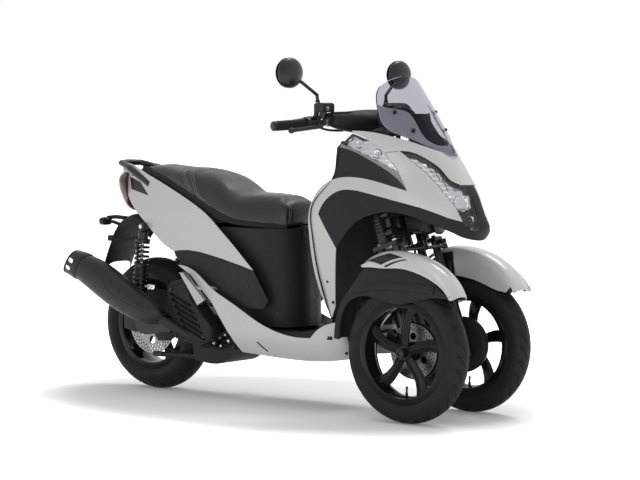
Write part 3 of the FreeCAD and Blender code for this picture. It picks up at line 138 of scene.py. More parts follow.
def touch(names, start, toward):
    """Where a line first meets one of the nodes, with the normal that faces back along the line.

    A line that slips through a seam between two panels is tried again a few millimetres away.
    """
    trees = [surface_of(name) for name in names]
    side = toward.orthogonal().normalized()
    other = toward.cross(side)
    for reach in (0.0, 0.002, 0.004, 0.008):
        for turn in range(8 if reach else 1):
            angle = turn * math.pi / 4
            shift = side * (reach * math.cos(angle)) + other * (reach * math.sin(angle))
            hits = [tree.ray_cast(start + shift, toward) for tree in trees]
            hits = [hit for hit in hits if hit[0] is not None]
            if hits:
                place, normal = min(hits, key=lambda hit: hit[3])[:2]
                return place - shift, -normal if normal.dot(toward) > 0 else normal
    raise ValueError("no surface at %s" % (tuple(round(v, 3) for v in start),))


def on_side(names, x, z, side, origin):
    """The surface seen from the left (1) or the right (-1), x millimetres forward of an axle."""
    return touch(names, Vector((origin + x * MM, side * BESIDE, z * MM)), Vector((0, -side, 0)))


def on_end(names, y, z, end):
    """The surface seen from the front (1) or from the back (-1)."""
    return touch(names, Vector((end * BEYOND, y * MM, z * MM)), Vector((-end, 0, 0)))


def on_top(names, x, y, origin):
    """The surface seen from above, x millimetres forward of an axle."""
    return touch(names, Vector((origin + x * MM, y * MM, BEYOND)), Vector((0, 0, -1)))


# Shapes

def lathe(profile, centre, axis=(0, 1, 0), steps=48, closed=False):
    """Points and faces of an outline of (radius, distance) turned about an axis.

    An end of radius 0 closes at a point.
    """
    axis = Vector(axis).normalized()
    side = axis.orthogonal().normalized()
    other = axis.cross(side)
    points, rings = [], []
    for radius, distance in profile:
        base = Vector(centre) + axis * distance
        if radius < 1e-7:
            rings.append([len(points)] * steps)
            points.append(base)
            continue
        rings.append(list(range(len(points), len(points) + steps)))
        for k in range(steps):
            a = 2 * math.pi * k / steps
            points.append(base + side * (radius * math.cos(a)) + other * (radius * math.sin(a)))
    faces = []
    pairs = list(zip(rings, rings[1:])) + ([(rings[-1], rings[0])] if closed else [])
    for low, high in pairs:
        for k in range(steps):
            m = (k + 1) % steps
            corners = []
            for index in (low[k], low[m], high[m], high[k]):
                if index not in corners:
                    corners.append(index)
            if len(corners) > 2:
                faces.append(corners)
    return points, faces


def stacked(sections, capped=True):
    """Points and faces of a skin through rings that have the same number of points."""
    count = len(sections[0])
    points = [p for ring in sections for p in ring]
    faces = []
    for i in range(len(sections) - 1):
        for k in range(count):
            m = (k + 1) % count
            faces.append((i * count + k, i * count + m, (i + 1) * count + m, (i + 1) * count + k))
    if capped:
        faces.append(tuple(range(count - 1, -1, -1)))
        faces.append(tuple((len(sections) - 1) * count + k for k in range(count)))
    return points, faces


def rounded_ring(centre, across, up, wide, tall, corner=0.6, count=24):
    """A rounded-off box section. A corner of 1 gives an ellipse."""
    ring = []
    for k in range(count):
        a = 2 * math.pi * k / count
        u = math.copysign(abs(math.cos(a)) ** corner, math.cos(a)) * wide
        w = math.copysign(abs(math.sin(a)) ** corner, math.sin(a)) * tall
        ring.append(Vector(centre) + Vector(across) * u + Vector(up) * w)
    return ring


def smooth_curve(points, steps):
    """A rounded curve through points, with a number of steps between two of them."""
    curve = bpy.data.curves.new("path", "CURVE")
    curve.dimensions = "3D"
    spline = curve.splines.new("BEZIER")
    spline.bezier_points.add(len(points) - 1)
    for knot, place in zip(spline.bezier_points, points):
        knot.co = place
        knot.handle_left_type = knot.handle_right_type = "AUTO"
    curve.resolution_u = steps
    return curve


def tube(points, radius):
    """A round bar along points, closed at its ends, as a mesh."""
    curve = smooth_curve(points, 8)
    curve.bevel_depth = radius
    curve.bevel_resolution = 3
    curve.use_fill_caps = True
    return baked(linked("path", curve))


def welded(name):
    """A merged copy of a CAD node's mesh."""
    bm = bmesh.new()
    bm.from_mesh(NODES[name].data)
    bmesh.ops.remove_doubles(bm, verts=bm.verts, dist=1e-5)
    return bm


class Piece:
    """Shapes gathered into one mesh, each with its own finish."""

    def __init__(self, name, finish):
        self.name = name
        self.bm = bmesh.new()
        self.finishes = [finish]

    def number(self, finish):
        if finish is None:
            return 0
        if finish not in self.finishes:
            self.finishes.append(finish)
        return self.finishes.index(finish)

    def add(self, shape, finish=None):
        points, faces = shape
        number = self.number(finish)
        corners = [self.bm.verts.new(p) for p in points]
        for face in faces:
            made = self.bm.faces.new([corners[i] for i in face])
            made.material_index = number

    def add_mesh(self, mesh, finish=None, place=None):
        number = self.number(finish)
        if place is not None:
            mesh.transform(place)
        start = len(self.bm.faces)
        self.bm.from_mesh(mesh)
        self.bm.faces.ensure_lookup_table()
        for face in self.bm.faces[start:]:
            face.material_index = number

    def turned(self, finish, profile, centre, axis=(0, 1, 0), steps=48, closed=False):
        """Adds a turned shape. Its outline is in millimetres."""
        outline = [(radius * MM, distance * MM) for radius, distance in profile]
        self.add(lathe(outline, centre, axis, steps, closed), finish)

    def ringed(self, finish, across, up, rings, **shape):
        """Adds a skin through rounded box sections, each given as (centre, half width, half height)."""
        skin = [rounded_ring(centre, across, up, wide, tall, **shape) for centre, wide, tall in rings]
        self.add(stacked(skin), finish)

    def screw(self, spots, finish, kind="socket"):
        """Adds a screw head at each (place, direction, radius)."""
        self.add_mesh(screws(spots, finish, kind), finish)

    def done(self, body, replaces=(), sharp=35.0, level=0, outward=True):
        if outward:
            bmesh.ops.recalc_face_normals(self.bm, faces=self.bm.faces)
        mesh = bpy.data.meshes.new(self.name)
        self.bm.to_mesh(mesh)
        self.bm.free()
        for finish in self.finishes:
            mesh.materials.append(FINISHES[finish])
        piece = linked(self.name, mesh)
        if level:
            rounding = piece.modifiers.new("Rounding", "SUBSURF")
            rounding.levels = rounding.render_levels = level
        for face in mesh.polygons:
            face.use_smooth = True
        if sharp:
            mesh.set_sharp_from_angle(angle=math.radians(sharp))
        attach(piece, body)
        if replaces:
            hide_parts(*replaces)
        return piece


# Finishes

class Net:
    """A node tree under construction."""

    def __init__(self, tree):
        self.tree = tree
        tree.nodes.clear()

    def node(self, kind, **settings):
        node = self.tree.nodes.new(kind)
        for key, value in settings.items():
            setattr(node, key, value)
        return node

    def join(self, source, target):
        self.tree.links.new(source, target)

    def feed(self, socket, value):
        """Links a socket to another one, or sets its value."""
        if isinstance(value, bpy.types.NodeSocket):
            self.join(value, socket)
        elif value is not None:
            socket.default_value = value

    def sum(self, operation, first, second=None):
        node = self.node("ShaderNodeMath", operation=operation)
        for socket, value in zip(node.inputs, (first, second)):
            self.feed(socket, value)
        return node.outputs[0]

    def spread(self, value, low, high, start=0.3, end=0.7, **settings):
        """A value that goes from low to high while the given one goes from start to end."""
        node = self.node("ShaderNodeMapRange", **settings)
        for socket, number in (("Value", value), ("From Min", start), ("From Max", end), ("To Min", low),
                               ("To Max", high)):
            self.feed(node.inputs[socket], number)
        return node.outputs["Result"]


class Finish(Net):
    """One material under construction: a shader fed by patterns that read the piece's own coordinates."""

    def __init__(self, name, colour, roughness, metallic=0.0, coat=0.0, clear=0.0, ior=1.5, shine=0.5):
        self.material = bpy.data.materials.new(name)
        self.material.use_nodes = True
        super().__init__(self.material.node_tree)
        out = self.node("ShaderNodeOutputMaterial")
        self.shader = self.node("ShaderNodeBsdfPrincipled")
        self.join(self.shader.outputs[0], out.inputs[0])
        self.colour = tuple(colour[:3])
        for socket, value in (("Base Color", (*self.colour, 1.0)), ("Roughness", roughness),
                              ("Metallic", metallic), ("Coat Weight", coat), ("Coat Roughness", 0.08),
                              ("Transmission Weight", clear), ("IOR", ior), ("Specular IOR Level", shine)):
            self.shader.inputs[socket].default_value = value
        self.object_place = self.node("ShaderNodeTexCoord").outputs["Object"]

    def place(self, centre=(0, 0, 0), stretch=(1, 1, 1)):
        """The piece's coordinates, measured from a centre and stretched."""
        if tuple(centre) == (0, 0, 0) and tuple(stretch) == (1, 1, 1):
            return self.object_place
        mapping = self.node("ShaderNodeMapping", vector_type="TEXTURE")
        mapping.inputs["Location"].default_value = centre
        mapping.inputs["Scale"].default_value = stretch
        self.join(self.object_place, mapping.inputs["Vector"])
        return mapping.outputs["Vector"]

    def noise(self, scale, detail=2.0, stretch=(1, 1, 1)):
        node = self.node("ShaderNodeTexNoise")
        node.inputs["Scale"].default_value = scale
        node.inputs["Detail"].default_value = detail
        self.join(self.place(stretch=stretch), node.inputs["Vector"])
        return node.outputs[0]

    def cells(self, scale):
        node = self.node("ShaderNodeTexVoronoi")
        node.inputs["Scale"].default_value = scale
        self.join(self.object_place, node.inputs["Vector"])
        return node.outputs["Distance"]

    def lines(self, scale, direction="X", warp=0.0):
        node = self.node("ShaderNodeTexWave", bands_direction=direction)
        node.inputs["Scale"].default_value = scale
        node.inputs["Distortion"].default_value = warp
        self.join(self.object_place, node.inputs["Vector"])
        return node.outputs["Fac"]

    def from_axle(self, centre):
        """Distance from an axle."""
        split = self.node("ShaderNodeSeparateXYZ")
        self.join(self.place(centre=centre), split.inputs[0])
        squares = [self.sum("MULTIPLY", split.outputs[name], split.outputs[name]) for name in "XZ"]
        return self.sum("SQRT", self.sum("ADD", *squares))

    def tint(self, value, dark, light):
        """Colour from dark to light, as factors of the finish's own colour."""
        mix = self.node("ShaderNodeMix", data_type="RGBA")
        for socket, shade in ((mix.inputs[6], dark), (mix.inputs[7], light)):
            socket.default_value = (*[c * shade for c in self.colour], 1.0)
        self.join(value, mix.inputs[0])
        self.join(mix.outputs[2], self.shader.inputs["Base Color"])
        return self

    def sheen(self, value, low, high):
        self.join(self.spread(value, low, high), self.shader.inputs["Roughness"])
        return self

    def relief(self, value, strength, distance):
        bump = self.node("ShaderNodeBump")
        bump.inputs["Strength"].default_value = strength
        bump.inputs["Distance"].default_value = distance
        self.join(value, bump.inputs["Height"])
        earlier = self.shader.inputs["Normal"].links
        if earlier:
            self.join(earlier[0].from_socket, bump.inputs["Normal"])
        self.join(bump.outputs[0], self.shader.inputs["Normal"])
        return self


FINISHES = {}


def keep(key, finish):
    FINISHES[key] = finish.material
    return finish


def mix_painted(look):
    """Body paint, enamels and mouldings."""
    f = keep("paint", Finish("pearl body paint", look.paint, 0.24, coat=0.25))
    f.tint(f.noise(2.2), 0.975, 1.02).sheen(f.noise(30.0), 0.2, 0.28)
    f = keep("plastic", Finish("grained dark moulding", look.plastic, 0.55, shine=0.2))
    f.tint(f.noise(6.0, 3.0), 0.86, 1.14).sheen(f.noise(50.0), 0.48, 0.62)
    f.relief(f.cells(1100.0), 0.22, 0.00018).relief(f.noise(350.0), 0.08, 0.0002)
    f = keep("gloss_black", Finish("gloss black moulding", (0.009, 0.009, 0.010), 0.30, shine=0.3))
    f.tint(f.noise(5.0), 0.8, 1.25).sheen(f.noise(60.0), 0.28, 0.38)
    f = keep("satin_grey", Finish("light grey satin moulding", look.band, 0.4))
    f.tint(f.noise(8.0), 0.95, 1.05).relief(f.noise(900.0), 0.06, 0.0001)
    f = keep("enamel", Finish("black enamel on steel", (0.011, 0.011, 0.0125), 0.32, shine=0.35))
    f.tint(f.noise(9.0), 0.8, 1.3).sheen(f.noise(45.0), 0.24, 0.4).relief(f.noise(260.0), 0.1, 0.0002)
    f = keep("wheel", Finish("gloss black cast wheel", (0.008, 0.008, 0.009), 0.16, shine=0.16))
    f.tint(f.noise(12.0), 0.8, 1.3).sheen(f.noise(40.0), 0.12, 0.2).relief(f.noise(420.0), 0.04, 0.0001)
    f = keep("muffler", Finish("heatproof satin black", (0.022, 0.022, 0.025), 0.40, metallic=0.2, shine=0.3))
    f.tint(f.noise(7.0, 3.0), 0.85, 1.2).sheen(f.noise(70.0), 0.36, 0.5).relief(f.noise(800.0), 0.12, 0.00012)


def mix_metals():
    """Castings, alloy, steel and chrome, and brake discs with a painted shade on the front ones."""
    f = keep("casting", Finish("dark painted casting", (0.016, 0.016, 0.018), 0.5, metallic=0.2, shine=0.25))
    f.tint(f.noise(14.0, 3.0), 0.75, 1.25).relief(f.noise(330.0, 4.0), 0.35, 0.0004)
    f = keep("alloy", Finish("satin alloy", (0.34, 0.34, 0.35), 0.38, metallic=0.9))
    f.tint(f.noise(25.0), 0.85, 1.1).relief(f.noise(500.0, stretch=(1.0, 0.08, 1.0)), 0.15, 0.0001)
    f = keep("steel", Finish("bright zinc steel", (0.62, 0.62, 0.6), 0.3, metallic=1.0))
    f.tint(f.noise(160.0), 0.85, 1.1).sheen(f.noise(90.0), 0.22, 0.4)
    f = keep("black_steel", Finish("black fastener steel", (0.03, 0.03, 0.032), 0.36, metallic=0.7))
    f.tint(f.noise(200.0), 0.8, 1.25)
    f = keep("chrome", Finish("vacuum plated reflector", (0.86, 0.87, 0.88), 0.1, metallic=1.0))
    f.sheen(f.noise(80.0), 0.06, 0.16).relief(f.lines(55.0, "Z"), 0.25, 0.0006)
    f = keep("bowl", Finish("plated lamp bowl", (0.5, 0.51, 0.53), 0.25, metallic=0.9))
    split = f.node("ShaderNodeSeparateXYZ")
    f.join(f.object_place, split.inputs[0])
    f.tint(f.spread(split.outputs["Z"], 0.0, 1.0, 0.742, 0.752), 0.04, 1.0)
    f.relief(f.lines(20.0, "Z", 0.8), 0.5, 0.0012)
    f = keep("mirror", Finish("mirror glass", (0.8, 0.82, 0.84), 0.02, metallic=1.0))
    f.sheen(f.noise(20.0), 0.01, 0.03)
    f = keep("spring", Finish("black spring steel", (0.012, 0.012, 0.013), 0.28, shine=0.4))
    f.tint(f.noise(60.0), 0.8, 1.3)
    # The front discs are the same ground steel as the rear one; their darker grey is a painted shade.
    for key, grey, centre in (("disc_front", 0.15, (FRONT_X, 0, FRONT_TYRE_R)),
                              ("disc_rear", 0.25, (REAR_X, 0, REAR_TYRE_R))):
        f = keep(key, Finish("ground brake disc", (grey, grey, grey), 0.36, metallic=0.85))
        radius = f.from_axle(centre)
        rings = f.sum("SINE", f.sum("MULTIPLY", radius, 7000.0))
        f.relief(rings, 0.15, 0.00005)
        swept = f.spread(f.sum("SINE", f.sum("MULTIPLY", radius, 420.0)), 0.3, 0.42, -1.0, 1.0)
        f.join(swept, f.shader.inputs["Roughness"])
        f.tint(f.noise(40.0), 0.85, 1.1)


def mix_soft(look):
    """Seat vinyl, thread, rubber and tyres."""
    f = keep("vinyl", Finish("charcoal seat vinyl", look.vinyl, 0.38, coat=0.06, shine=0.35))
    f.tint(f.noise(5.0, 3.0), 0.88, 1.12).sheen(f.noise(40.0), 0.33, 0.45)
    f.relief(f.cells(650.0), 0.3, 0.00035).relief(f.noise(140.0, 3.0), 0.1, 0.0006)
    f = keep("thread", Finish("light grey thread", look.thread, 0.7))
    f.tint(f.noise(900.0), 0.8, 1.15)
    f = keep("tyre", Finish("tyre rubber", (0.013, 0.013, 0.0135), 0.6, shine=0.2))
    f.tint(f.noise(10.0, 4.0), 0.8, 1.35).sheen(f.noise(25.0), 0.52, 0.7).relief(f.noise(500.0, 3.0), 0.15,
            0.0003)
    f = keep("rubber", Finish("moulded rubber", (0.012, 0.012, 0.013), 0.6, shine=0.2))
    f.tint(f.noise(30.0), 0.8, 1.2).relief(f.cells(900.0), 0.2, 0.0002)


def mix_clear(look):
    """Lenses, screen and dial glass."""
    f = keep("lens", Finish("clear lens", (0.96, 0.97, 0.98), 0.03, clear=1.0, ior=1.3))
    f.sheen(f.noise(12.0), 0.015, 0.045)
    f = keep("flutes", Finish("fluted indicator lens", (0.95, 0.96, 0.97), 0.05, clear=1.0, ior=1.3))
    f.relief(f.lines(38.0, "X"), 0.12, 0.0006)
    f = keep("smoke", Finish("smoke screen", look.smoke, 0.02, clear=1.0, ior=1.08))
    f.sheen(f.noise(6.0), 0.01, 0.03)
    f = keep("red", Finish("red lens", (0.07, 0.003, 0.004), 0.12, clear=0.1, coat=0.2))
    f.tint(f.noise(15.0), 0.9, 1.1).relief(f.lines(60.0, "Y"), 0.3, 0.0008)
    f = keep("amber", Finish("amber bulb", (0.8, 0.25, 0.02), 0.1, clear=0.6))
    f.tint(f.noise(60.0), 0.9, 1.1)
    f = keep("dial", Finish("dark dial glass", (0.01, 0.011, 0.013), 0.06, coat=1.0))
    f.tint(f.noise(25.0), 0.8, 1.3)


CAD_FINISHES = {"paint": ("hood", "cowl_sides", "lower_side_covers", "rear_side_covers",
                          "fender_cover_left", "fender_cover_right", "screen_base"),
                "plastic": ("arch_covers", "chin", "rear_lower_covers", "seat_base", "inner_leg_shield",
                            "floor_cover", "fender_base_left", "fender_base_right", "rear_mudguard",
                            "radiator_guard", "meter", "seat_pan", "handlebar_cover"),
                "gloss_black": ("side_panels",), "rubber": ("grips",), "satin_grey": ("light_bands",),
                "lens": ("headlight",), "flutes": ("indicators",), "red": ("tail_lamp",),
                "smoke": ("windscreen",), "enamel": ("frame", "lean_linkage", "fork_left", "fork_right",
                                                     "tie_rod", "handlebar", "centre_stand", "side_stand",
                                                     "grab_rail", "swing_arm", "rear_shocks", "controls",
                                                     "mirrors"), "wheel": ("rim_front_left",
        "rim_front_right", "rim_rear"), "casting": ("engine", "drive_case"), "alloy": ("passenger_pegs",),
                "muffler": ("muffler",), "disc_front": ("disc_front_left", "disc_front_right"),
                "disc_rear": ("disc_rear",), "tyre": ("tyre_front_left", "tyre_front_right", "tyre_rear"),
                "vinyl": ("seat",), }


def finish_nodes():
    """Gives every CAD node its finish."""
    bare = set(NODES)
    for finish, names in CAD_FINISHES.items():
        for name in names:
            node = NODES[name]
            node.data.materials.clear()
            node.data.materials.append(FINISHES[finish])
            bare.discard(name)
    if bare:
        raise ValueError("no finish for %s" % sorted(bare))


# Node trees for what repeats

class Plan(Net):
    """A geometry node tree under construction, with a named input for each size."""

    def __init__(self, name, **asked):
        super().__init__(bpy.data.node_groups.new(name, "GeometryNodeTree"))
        self.tree.interface.new_socket(name="Geometry", in_out="OUTPUT", socket_type="NodeSocketGeometry")
        self.keys = {}
        for title, (kind, default) in [("Geometry", ("Geometry", None))] + list(asked.items()):
            socket = self.tree.interface.new_socket(name=title.replace("_", " "), in_out="INPUT",
                                                    socket_type="NodeSocket" + kind)
            if default is not None:
                socket.default_value = default
            self.keys[title] = socket.identifier
        self.entry = self.tree.nodes.new("NodeGroupInput")
        self.exit = self.tree.nodes.new("NodeGroupOutput")

    def size(self, title):
        return self.entry.outputs[title.replace("_", " ")]

    def add(self, kind, settings=None, **inputs):
        """The first output of a new node. A list goes into one socket in its order."""
        node = self.node(kind, **(settings or {}))
        for key, value in inputs.items():
            for item in value if isinstance(value, list) else [value]:
                self.feed(node.inputs[key.replace("_", " ")], item)
        return node.outputs[0]

    def vector(self, x, y, z):
        return self.add("ShaderNodeCombineXYZ", X=x, Y=y, Z=z)

    def along(self, mode, title):
        """Points along the host curve, with their turn. The title is the size that spaces them."""
        knots = self.node("GeometryNodeCurveToPoints", mode=mode)
        self.join(self.size("Geometry"), knots.inputs["Curve"])
        self.join(self.size(title), knots.inputs["Length" if mode == "LENGTH" else "Count"])
        return knots.outputs["Points"], knots.outputs["Rotation"]

    def finish(self, geometry):
        realised = self.add("GeometryNodeRealizeInstances", Geometry=geometry)
        painted = self.add("GeometryNodeSetMaterial", Geometry=realised, Material=self.size("Material"))
        self.join(painted, self.exit.inputs[0])
        return self


def grown(host, plan, **sizes):
    """The plain mesh that a plan makes of a host mesh or curve."""
    holder = linked("host", host)
    growth = holder.modifiers.new("Growth", "NODES")
    growth.node_group = plan.tree
    for title, value in sizes.items():
        growth[plan.keys[title]] = value
    return baked(holder)


def blank():
    """A mesh of one point, for plans that need no host."""
    return mesh_of("start", ([(0, 0, 0)], []))


def path_curve(points):
    """A curve of straight lines between points."""
    curve = bpy.data.curves.new("run", "CURVE")
    curve.dimensions = "3D"
    spline = curve.splines.new("POLY")
    spline.points.add(len(points) - 1)
    for knot, place in zip(spline.points, points):
        knot.co = (*place, 1.0)
    return curve


def stitch_plan():
    """Short threads laid end to end along a path."""
    plan = Plan("Stitch run", Stitch=("Float", 0.004), Pitch=("Float", 0.006), Thread=("Float", 0.0007),
                Material=("Material", None))
    knots, turn = plan.along("LENGTH", "Pitch")
    bead = plan.add("GeometryNodeMeshUVSphere", Segments=6, Rings=4, Radius=1.0)
    half = plan.sum("MULTIPLY", plan.size("Stitch"), 0.5)
    scale = plan.vector(plan.size("Thread"), plan.size("Thread"), half)
    thread = plan.add("GeometryNodeTransform", Geometry=bead, Scale=scale)
    laid = plan.add("GeometryNodeInstanceOnPoints", Points=knots, Instance=thread, Rotation=turn)
    return plan.finish(laid)


def head_plan():
    """A screw head at each point, turned to face away from the surface."""
    plan = Plan("Screw heads", Head=("Object", None), Material=("Material", None))
    facing = plan.add("GeometryNodeInputNamedAttribute", {"data_type": "FLOAT_VECTOR"}, Name="facing")
    size = plan.add("GeometryNodeInputNamedAttribute", {"data_type": "FLOAT"}, Name="size")
    turn = plan.add("FunctionNodeAlignRotationToVector", {"axis": "Z"}, Vector=facing)
    head = plan.node("GeometryNodeObjectInfo")
    plan.join(plan.size("Head"), head.inputs["Object"])
    scale = plan.vector(size, size, size)
    laid = plan.add("GeometryNodeInstanceOnPoints", Points=plan.size("Geometry"),
                    Instance=head.outputs["Geometry"], Rotation=turn, Scale=scale)
    return plan.finish(laid)


def coil_plan():
    """A round wire wound into a spring along Z."""
    plan = Plan("Coil spring", Turns=("Float", 8.0), Radius=("Float", 0.025), Height=("Float", 0.2),
                Wire=("Float", 0.005), Material=("Material", None))
    path = plan.add("GeometryNodeCurveSpiral", Resolution=28, Rotations=plan.size("Turns"),
                    Start_Radius=plan.size("Radius"), End_Radius=plan.size("Radius"),
                    Height=plan.size("Height"))
    section = plan.add("GeometryNodeCurvePrimitiveCircle", Resolution=10, Radius=plan.size("Wire"))
    wire = plan.add("GeometryNodeCurveToMesh", Curve=path, Profile_Curve=section, Fill_Caps=True)
    smooth = plan.add("GeometryNodeSetShadeSmooth", Geometry=wire)
    return plan.finish(smooth)


def bar_plan():
    """Equal bars in a row, each shifted from the last by a step."""
    plan = Plan("Row of bars", Count=("Int", 5), Step=("Vector", (0.0, 0.0, 0.01)),
                Size=("Vector", (0.1, 0.01, 0.01)), Turn=("Rotation", (0.0, 0.0, 0.0)),
                Material=("Material", None))
    points = plan.add("GeometryNodeMeshLine", {"mode": "OFFSET"}, Count=plan.size("Count"),
                      Offset=plan.size("Step"))
    bar = plan.add("GeometryNodeMeshCube", Size=plan.size("Size"))
    laid = plan.add("GeometryNodeInstanceOnPoints", Points=points, Instance=bar, Rotation=plan.size("Turn"))
    return plan.finish(laid)


def ring_plan():
    """Flat rings threaded on a path, such as the ribs of a grip."""
    plan = Plan("Threaded rings", Count=("Int", 20), Radius=("Float", 0.017), Thickness=("Float", 0.001),
                Material=("Material", None))
    knots, turn = plan.along("COUNT", "Count")
    loop = plan.add("GeometryNodeCurvePrimitiveCircle", Resolution=24, Radius=plan.size("Radius"))
    section = plan.add("GeometryNodeCurvePrimitiveCircle", Resolution=8, Radius=plan.size("Thickness"))
    ring = plan.add("GeometryNodeCurveToMesh", Curve=loop, Profile_Curve=section)
    laid = plan.add("GeometryNodeInstanceOnPoints", Points=knots, Instance=ring, Rotation=turn)
    return plan.finish(plan.add("GeometryNodeSetShadeSmooth", Geometry=laid))


def disc_plan(rows, windows):
    """A flat disc along Z with drilled rows and carrier windows.

    A row is given as (radius share, holes, hole share, shift).
    """
    plan = Plan("Drilled disc", Radius=("Float", 0.1), Bore=("Float", 0.012), Thickness=("Float", 0.004),
                Material=("Material", None))
    outlines = [plan.add("GeometryNodeCurvePrimitiveCircle", Resolution=160, Radius=plan.size("Radius")),
                plan.add("GeometryNodeCurvePrimitiveCircle", Resolution=40, Radius=plan.size("Bore"))]
    for share, holes, hole, shift in rows + windows:
        ring = plan.add("GeometryNodeCurvePrimitiveCircle", Resolution=holes,
                        Radius=plan.sum("MULTIPLY", plan.size("Radius"), share))
        turned = plan.add("GeometryNodeTransform", Geometry=ring, Rotation=(0.0, 0.0, shift))
        points = plan.add("GeometryNodeCurveToPoints", {"mode": "EVALUATED"}, Curve=turned)
        edge = plan.add("GeometryNodeCurvePrimitiveCircle", Resolution=12 if hole < 0.1 else 28,
                        Radius=plan.sum("MULTIPLY", plan.size("Radius"), hole))
        outlines.append(plan.add("GeometryNodeInstanceOnPoints", Points=points, Instance=edge))
    joined = plan.add("GeometryNodeJoinGeometry", Geometry=outlines)
    flat = plan.add("GeometryNodeFillCurve", Curve=plan.add("GeometryNodeRealizeInstances", Geometry=joined))
    raised = plan.add("GeometryNodeExtrudeMesh", Mesh=flat, Offset_Scale=plan.size("Thickness"),
                      Individual=False)
    under = plan.add("GeometryNodeFlipFaces", Mesh=flat)
    whole = plan.add("GeometryNodeJoinGeometry", Geometry=[raised, under])
    return plan.finish(plan.add("GeometryNodeMergeByDistance", Geometry=whole, Distance=0.00001))


# Stage

CAMERA_PLACE = (5.1702, -6.3023, 1.0931)
CAMERA_YAW = math.radians(128.509)
CAMERA_PITCH = math.radians(-3.414)
CAMERA_LENS = 122.81
CAMERA_SENSOR = 36.0
# The floor glows less inside this oval round the object and rises to full glow over this span: a painted
# shade on the floor near the object.
PAINTED_SHADE_OVAL = (1.15, 0.75, 1.0)
PAINTED_SHADE_FADE = (0.75, 1.25)
SKY_SHARES = (0.4, 1.5)


def make_camera():
    data = bpy.data.cameras.new("Camera")
    data.sensor_width = CAMERA_SENSOR
    data.lens = CAMERA_LENS
    data.clip_end = 200.0
    camera = linked("Camera", data)
    camera.location = CAMERA_PLACE
    level = math.cos(CAMERA_PITCH)
    look = Vector((math.cos(CAMERA_YAW) * level, math.sin(CAMERA_YAW) * level, math.sin(CAMERA_PITCH)))
    camera.rotation_euler = look.to_track_quat("-Z", "Y").to_euler()
    bpy.context.scene.camera = camera


def seen_ray(net):
    """1 on camera, mirror and glass rays, 0 on the rays that light the object."""
    path = net.node("ShaderNodeLightPath")
    value = path.outputs["Is Camera Ray"]
    for name in ("Is Glossy Ray", "Is Transmission Ray"):
        value = net.sum("MAXIMUM", value, path.outputs[name])
    return value


def make_floor(stage):
    """A matt floor that takes the shadow and turns to plain white away from the object.

    Its glow is weaker in an oval round the object, so the floor there is painted a soft shade.
    """
    size = stage.floor_size / 2
    corners = [(-size, -size, 0), (size, -size, 0), (size, size, 0), (-size, size, 0)]
    floor = linked("Floor", mesh_of("Floor", (corners, [(0, 1, 2, 3)])))
    material = bpy.data.materials.new("pale studio floor")
    material.use_nodes = True
    net = Net(material.node_tree)
    matt = net.node("ShaderNodeBsdfDiffuse")
    matt.inputs["Color"].default_value = (*stage.floor_colour, 1.0)
    oval = net.node("ShaderNodeMapping", vector_type="TEXTURE")
    oval.inputs["Scale"].default_value = PAINTED_SHADE_OVAL
    net.join(net.node("ShaderNodeTexCoord").outputs["Object"], oval.inputs["Vector"])
    reach = net.node("ShaderNodeVectorMath", operation="LENGTH")
    net.join(oval.outputs["Vector"], reach.inputs[0])
    glow_with_painted_shade = net.spread(reach.outputs["Value"], stage.floor_glow, 1.0, *PAINTED_SHADE_FADE,
                      interpolation_type="SMOOTHSTEP")
    glow = net.node("ShaderNodeEmission")
    net.join(net.sum("MULTIPLY", glow_with_painted_shade, seen_ray(net)), glow.inputs["Strength"])
    both = net.node("ShaderNodeAddShader")
    net.join(matt.outputs[0], both.inputs[0])
    net.join(glow.outputs[0], both.inputs[1])
    net.join(both.outputs[0], net.node("ShaderNodeOutputMaterial").inputs[0])
    floor.data.materials.append(material)


def make_world(stage):
    """A soft overhead sky, and plain white for what the camera, a mirror or a lens sees."""
    world = bpy.data.worlds.new("Studio")
    bpy.context.scene.world = world
    world.use_nodes = True
    net = Net(world.node_tree)
    soft = net.node("ShaderNodeBackground")
    soft.inputs["Color"].default_value = (1.0, 1.0, 1.0, 1.0)
    split = net.node("ShaderNodeSeparateXYZ")
    net.join(net.node("ShaderNodeTexCoord").outputs["Generated"], split.inputs[0])
    low, high = [stage.sky_strength * share for share in SKY_SHARES]
    overhead = net.spread(split.outputs["Z"], low, high, 0.0, 1.0)
    net.join(net.spread(seen_ray(net), overhead, 1.0, 0.0, 1.0), soft.inputs["Strength"])
    net.join(soft.outputs[0], net.node("ShaderNodeOutputWorld").inputs[0])


def make_lamp(name, place, target, size, power):
    data = bpy.data.lights.new(name, "AREA")
    data.shape = "RECTANGLE"
    data.size, data.size_y = size
    data.energy = power
    lamp = linked(name, data)
    lamp.location = place
    lamp.rotation_euler = (Vector(target) - Vector(place)).to_track_quat("-Z", "Y").to_euler()


# Wheels

def outline_run(first, middle, last, count):
    """Points of the smooth curve through three (radius, offset) points, without its last."""
    first, middle, last = Vector(first), Vector(middle), Vector(last)
    a, b = (middle - first).length, (last - middle).length
    t = a / (a + b)
    run = []
    for k in range(count):
        s = k / count
        run.append(first * ((s - t) * (s - 1) / t) + middle * (s * (s - 1) / (t * (t - 1)))
                   + last * (s * (s - t) / (1 - t)))
    return run


def tread_cut(angle, across, pitch, groove):
    """Depth share of the grooves at an angle, where across runs from -1 to 1 between the shoulders."""
    cut = np.zeros_like(angle)
    side = np.sign(across)
    share = np.abs(across)
    for start, low, high, sweep, wide in ((0.0, 0.1, 0.8, 1.15, 1.0), (0.5, 0.42, 0.98, 0.75, 0.75),
                                          (0.27, 0.62, 1.0, 0.3, 0.5)):
        turns = angle / (2 * math.pi) * pitch + np.where(side > 0, 0.5, 0.0) + start - sweep * share ** 0.7
        off = np.abs(turns - np.round(turns)) / (groove * wide)
        ends = np.clip((share - low) / 0.06, 0, 1) * np.clip((high - share) / 0.06, 0, 1)
        cut = np.maximum(cut, np.clip(1.6 - 1.6 * off, 0, 1) * ends)
    return cut


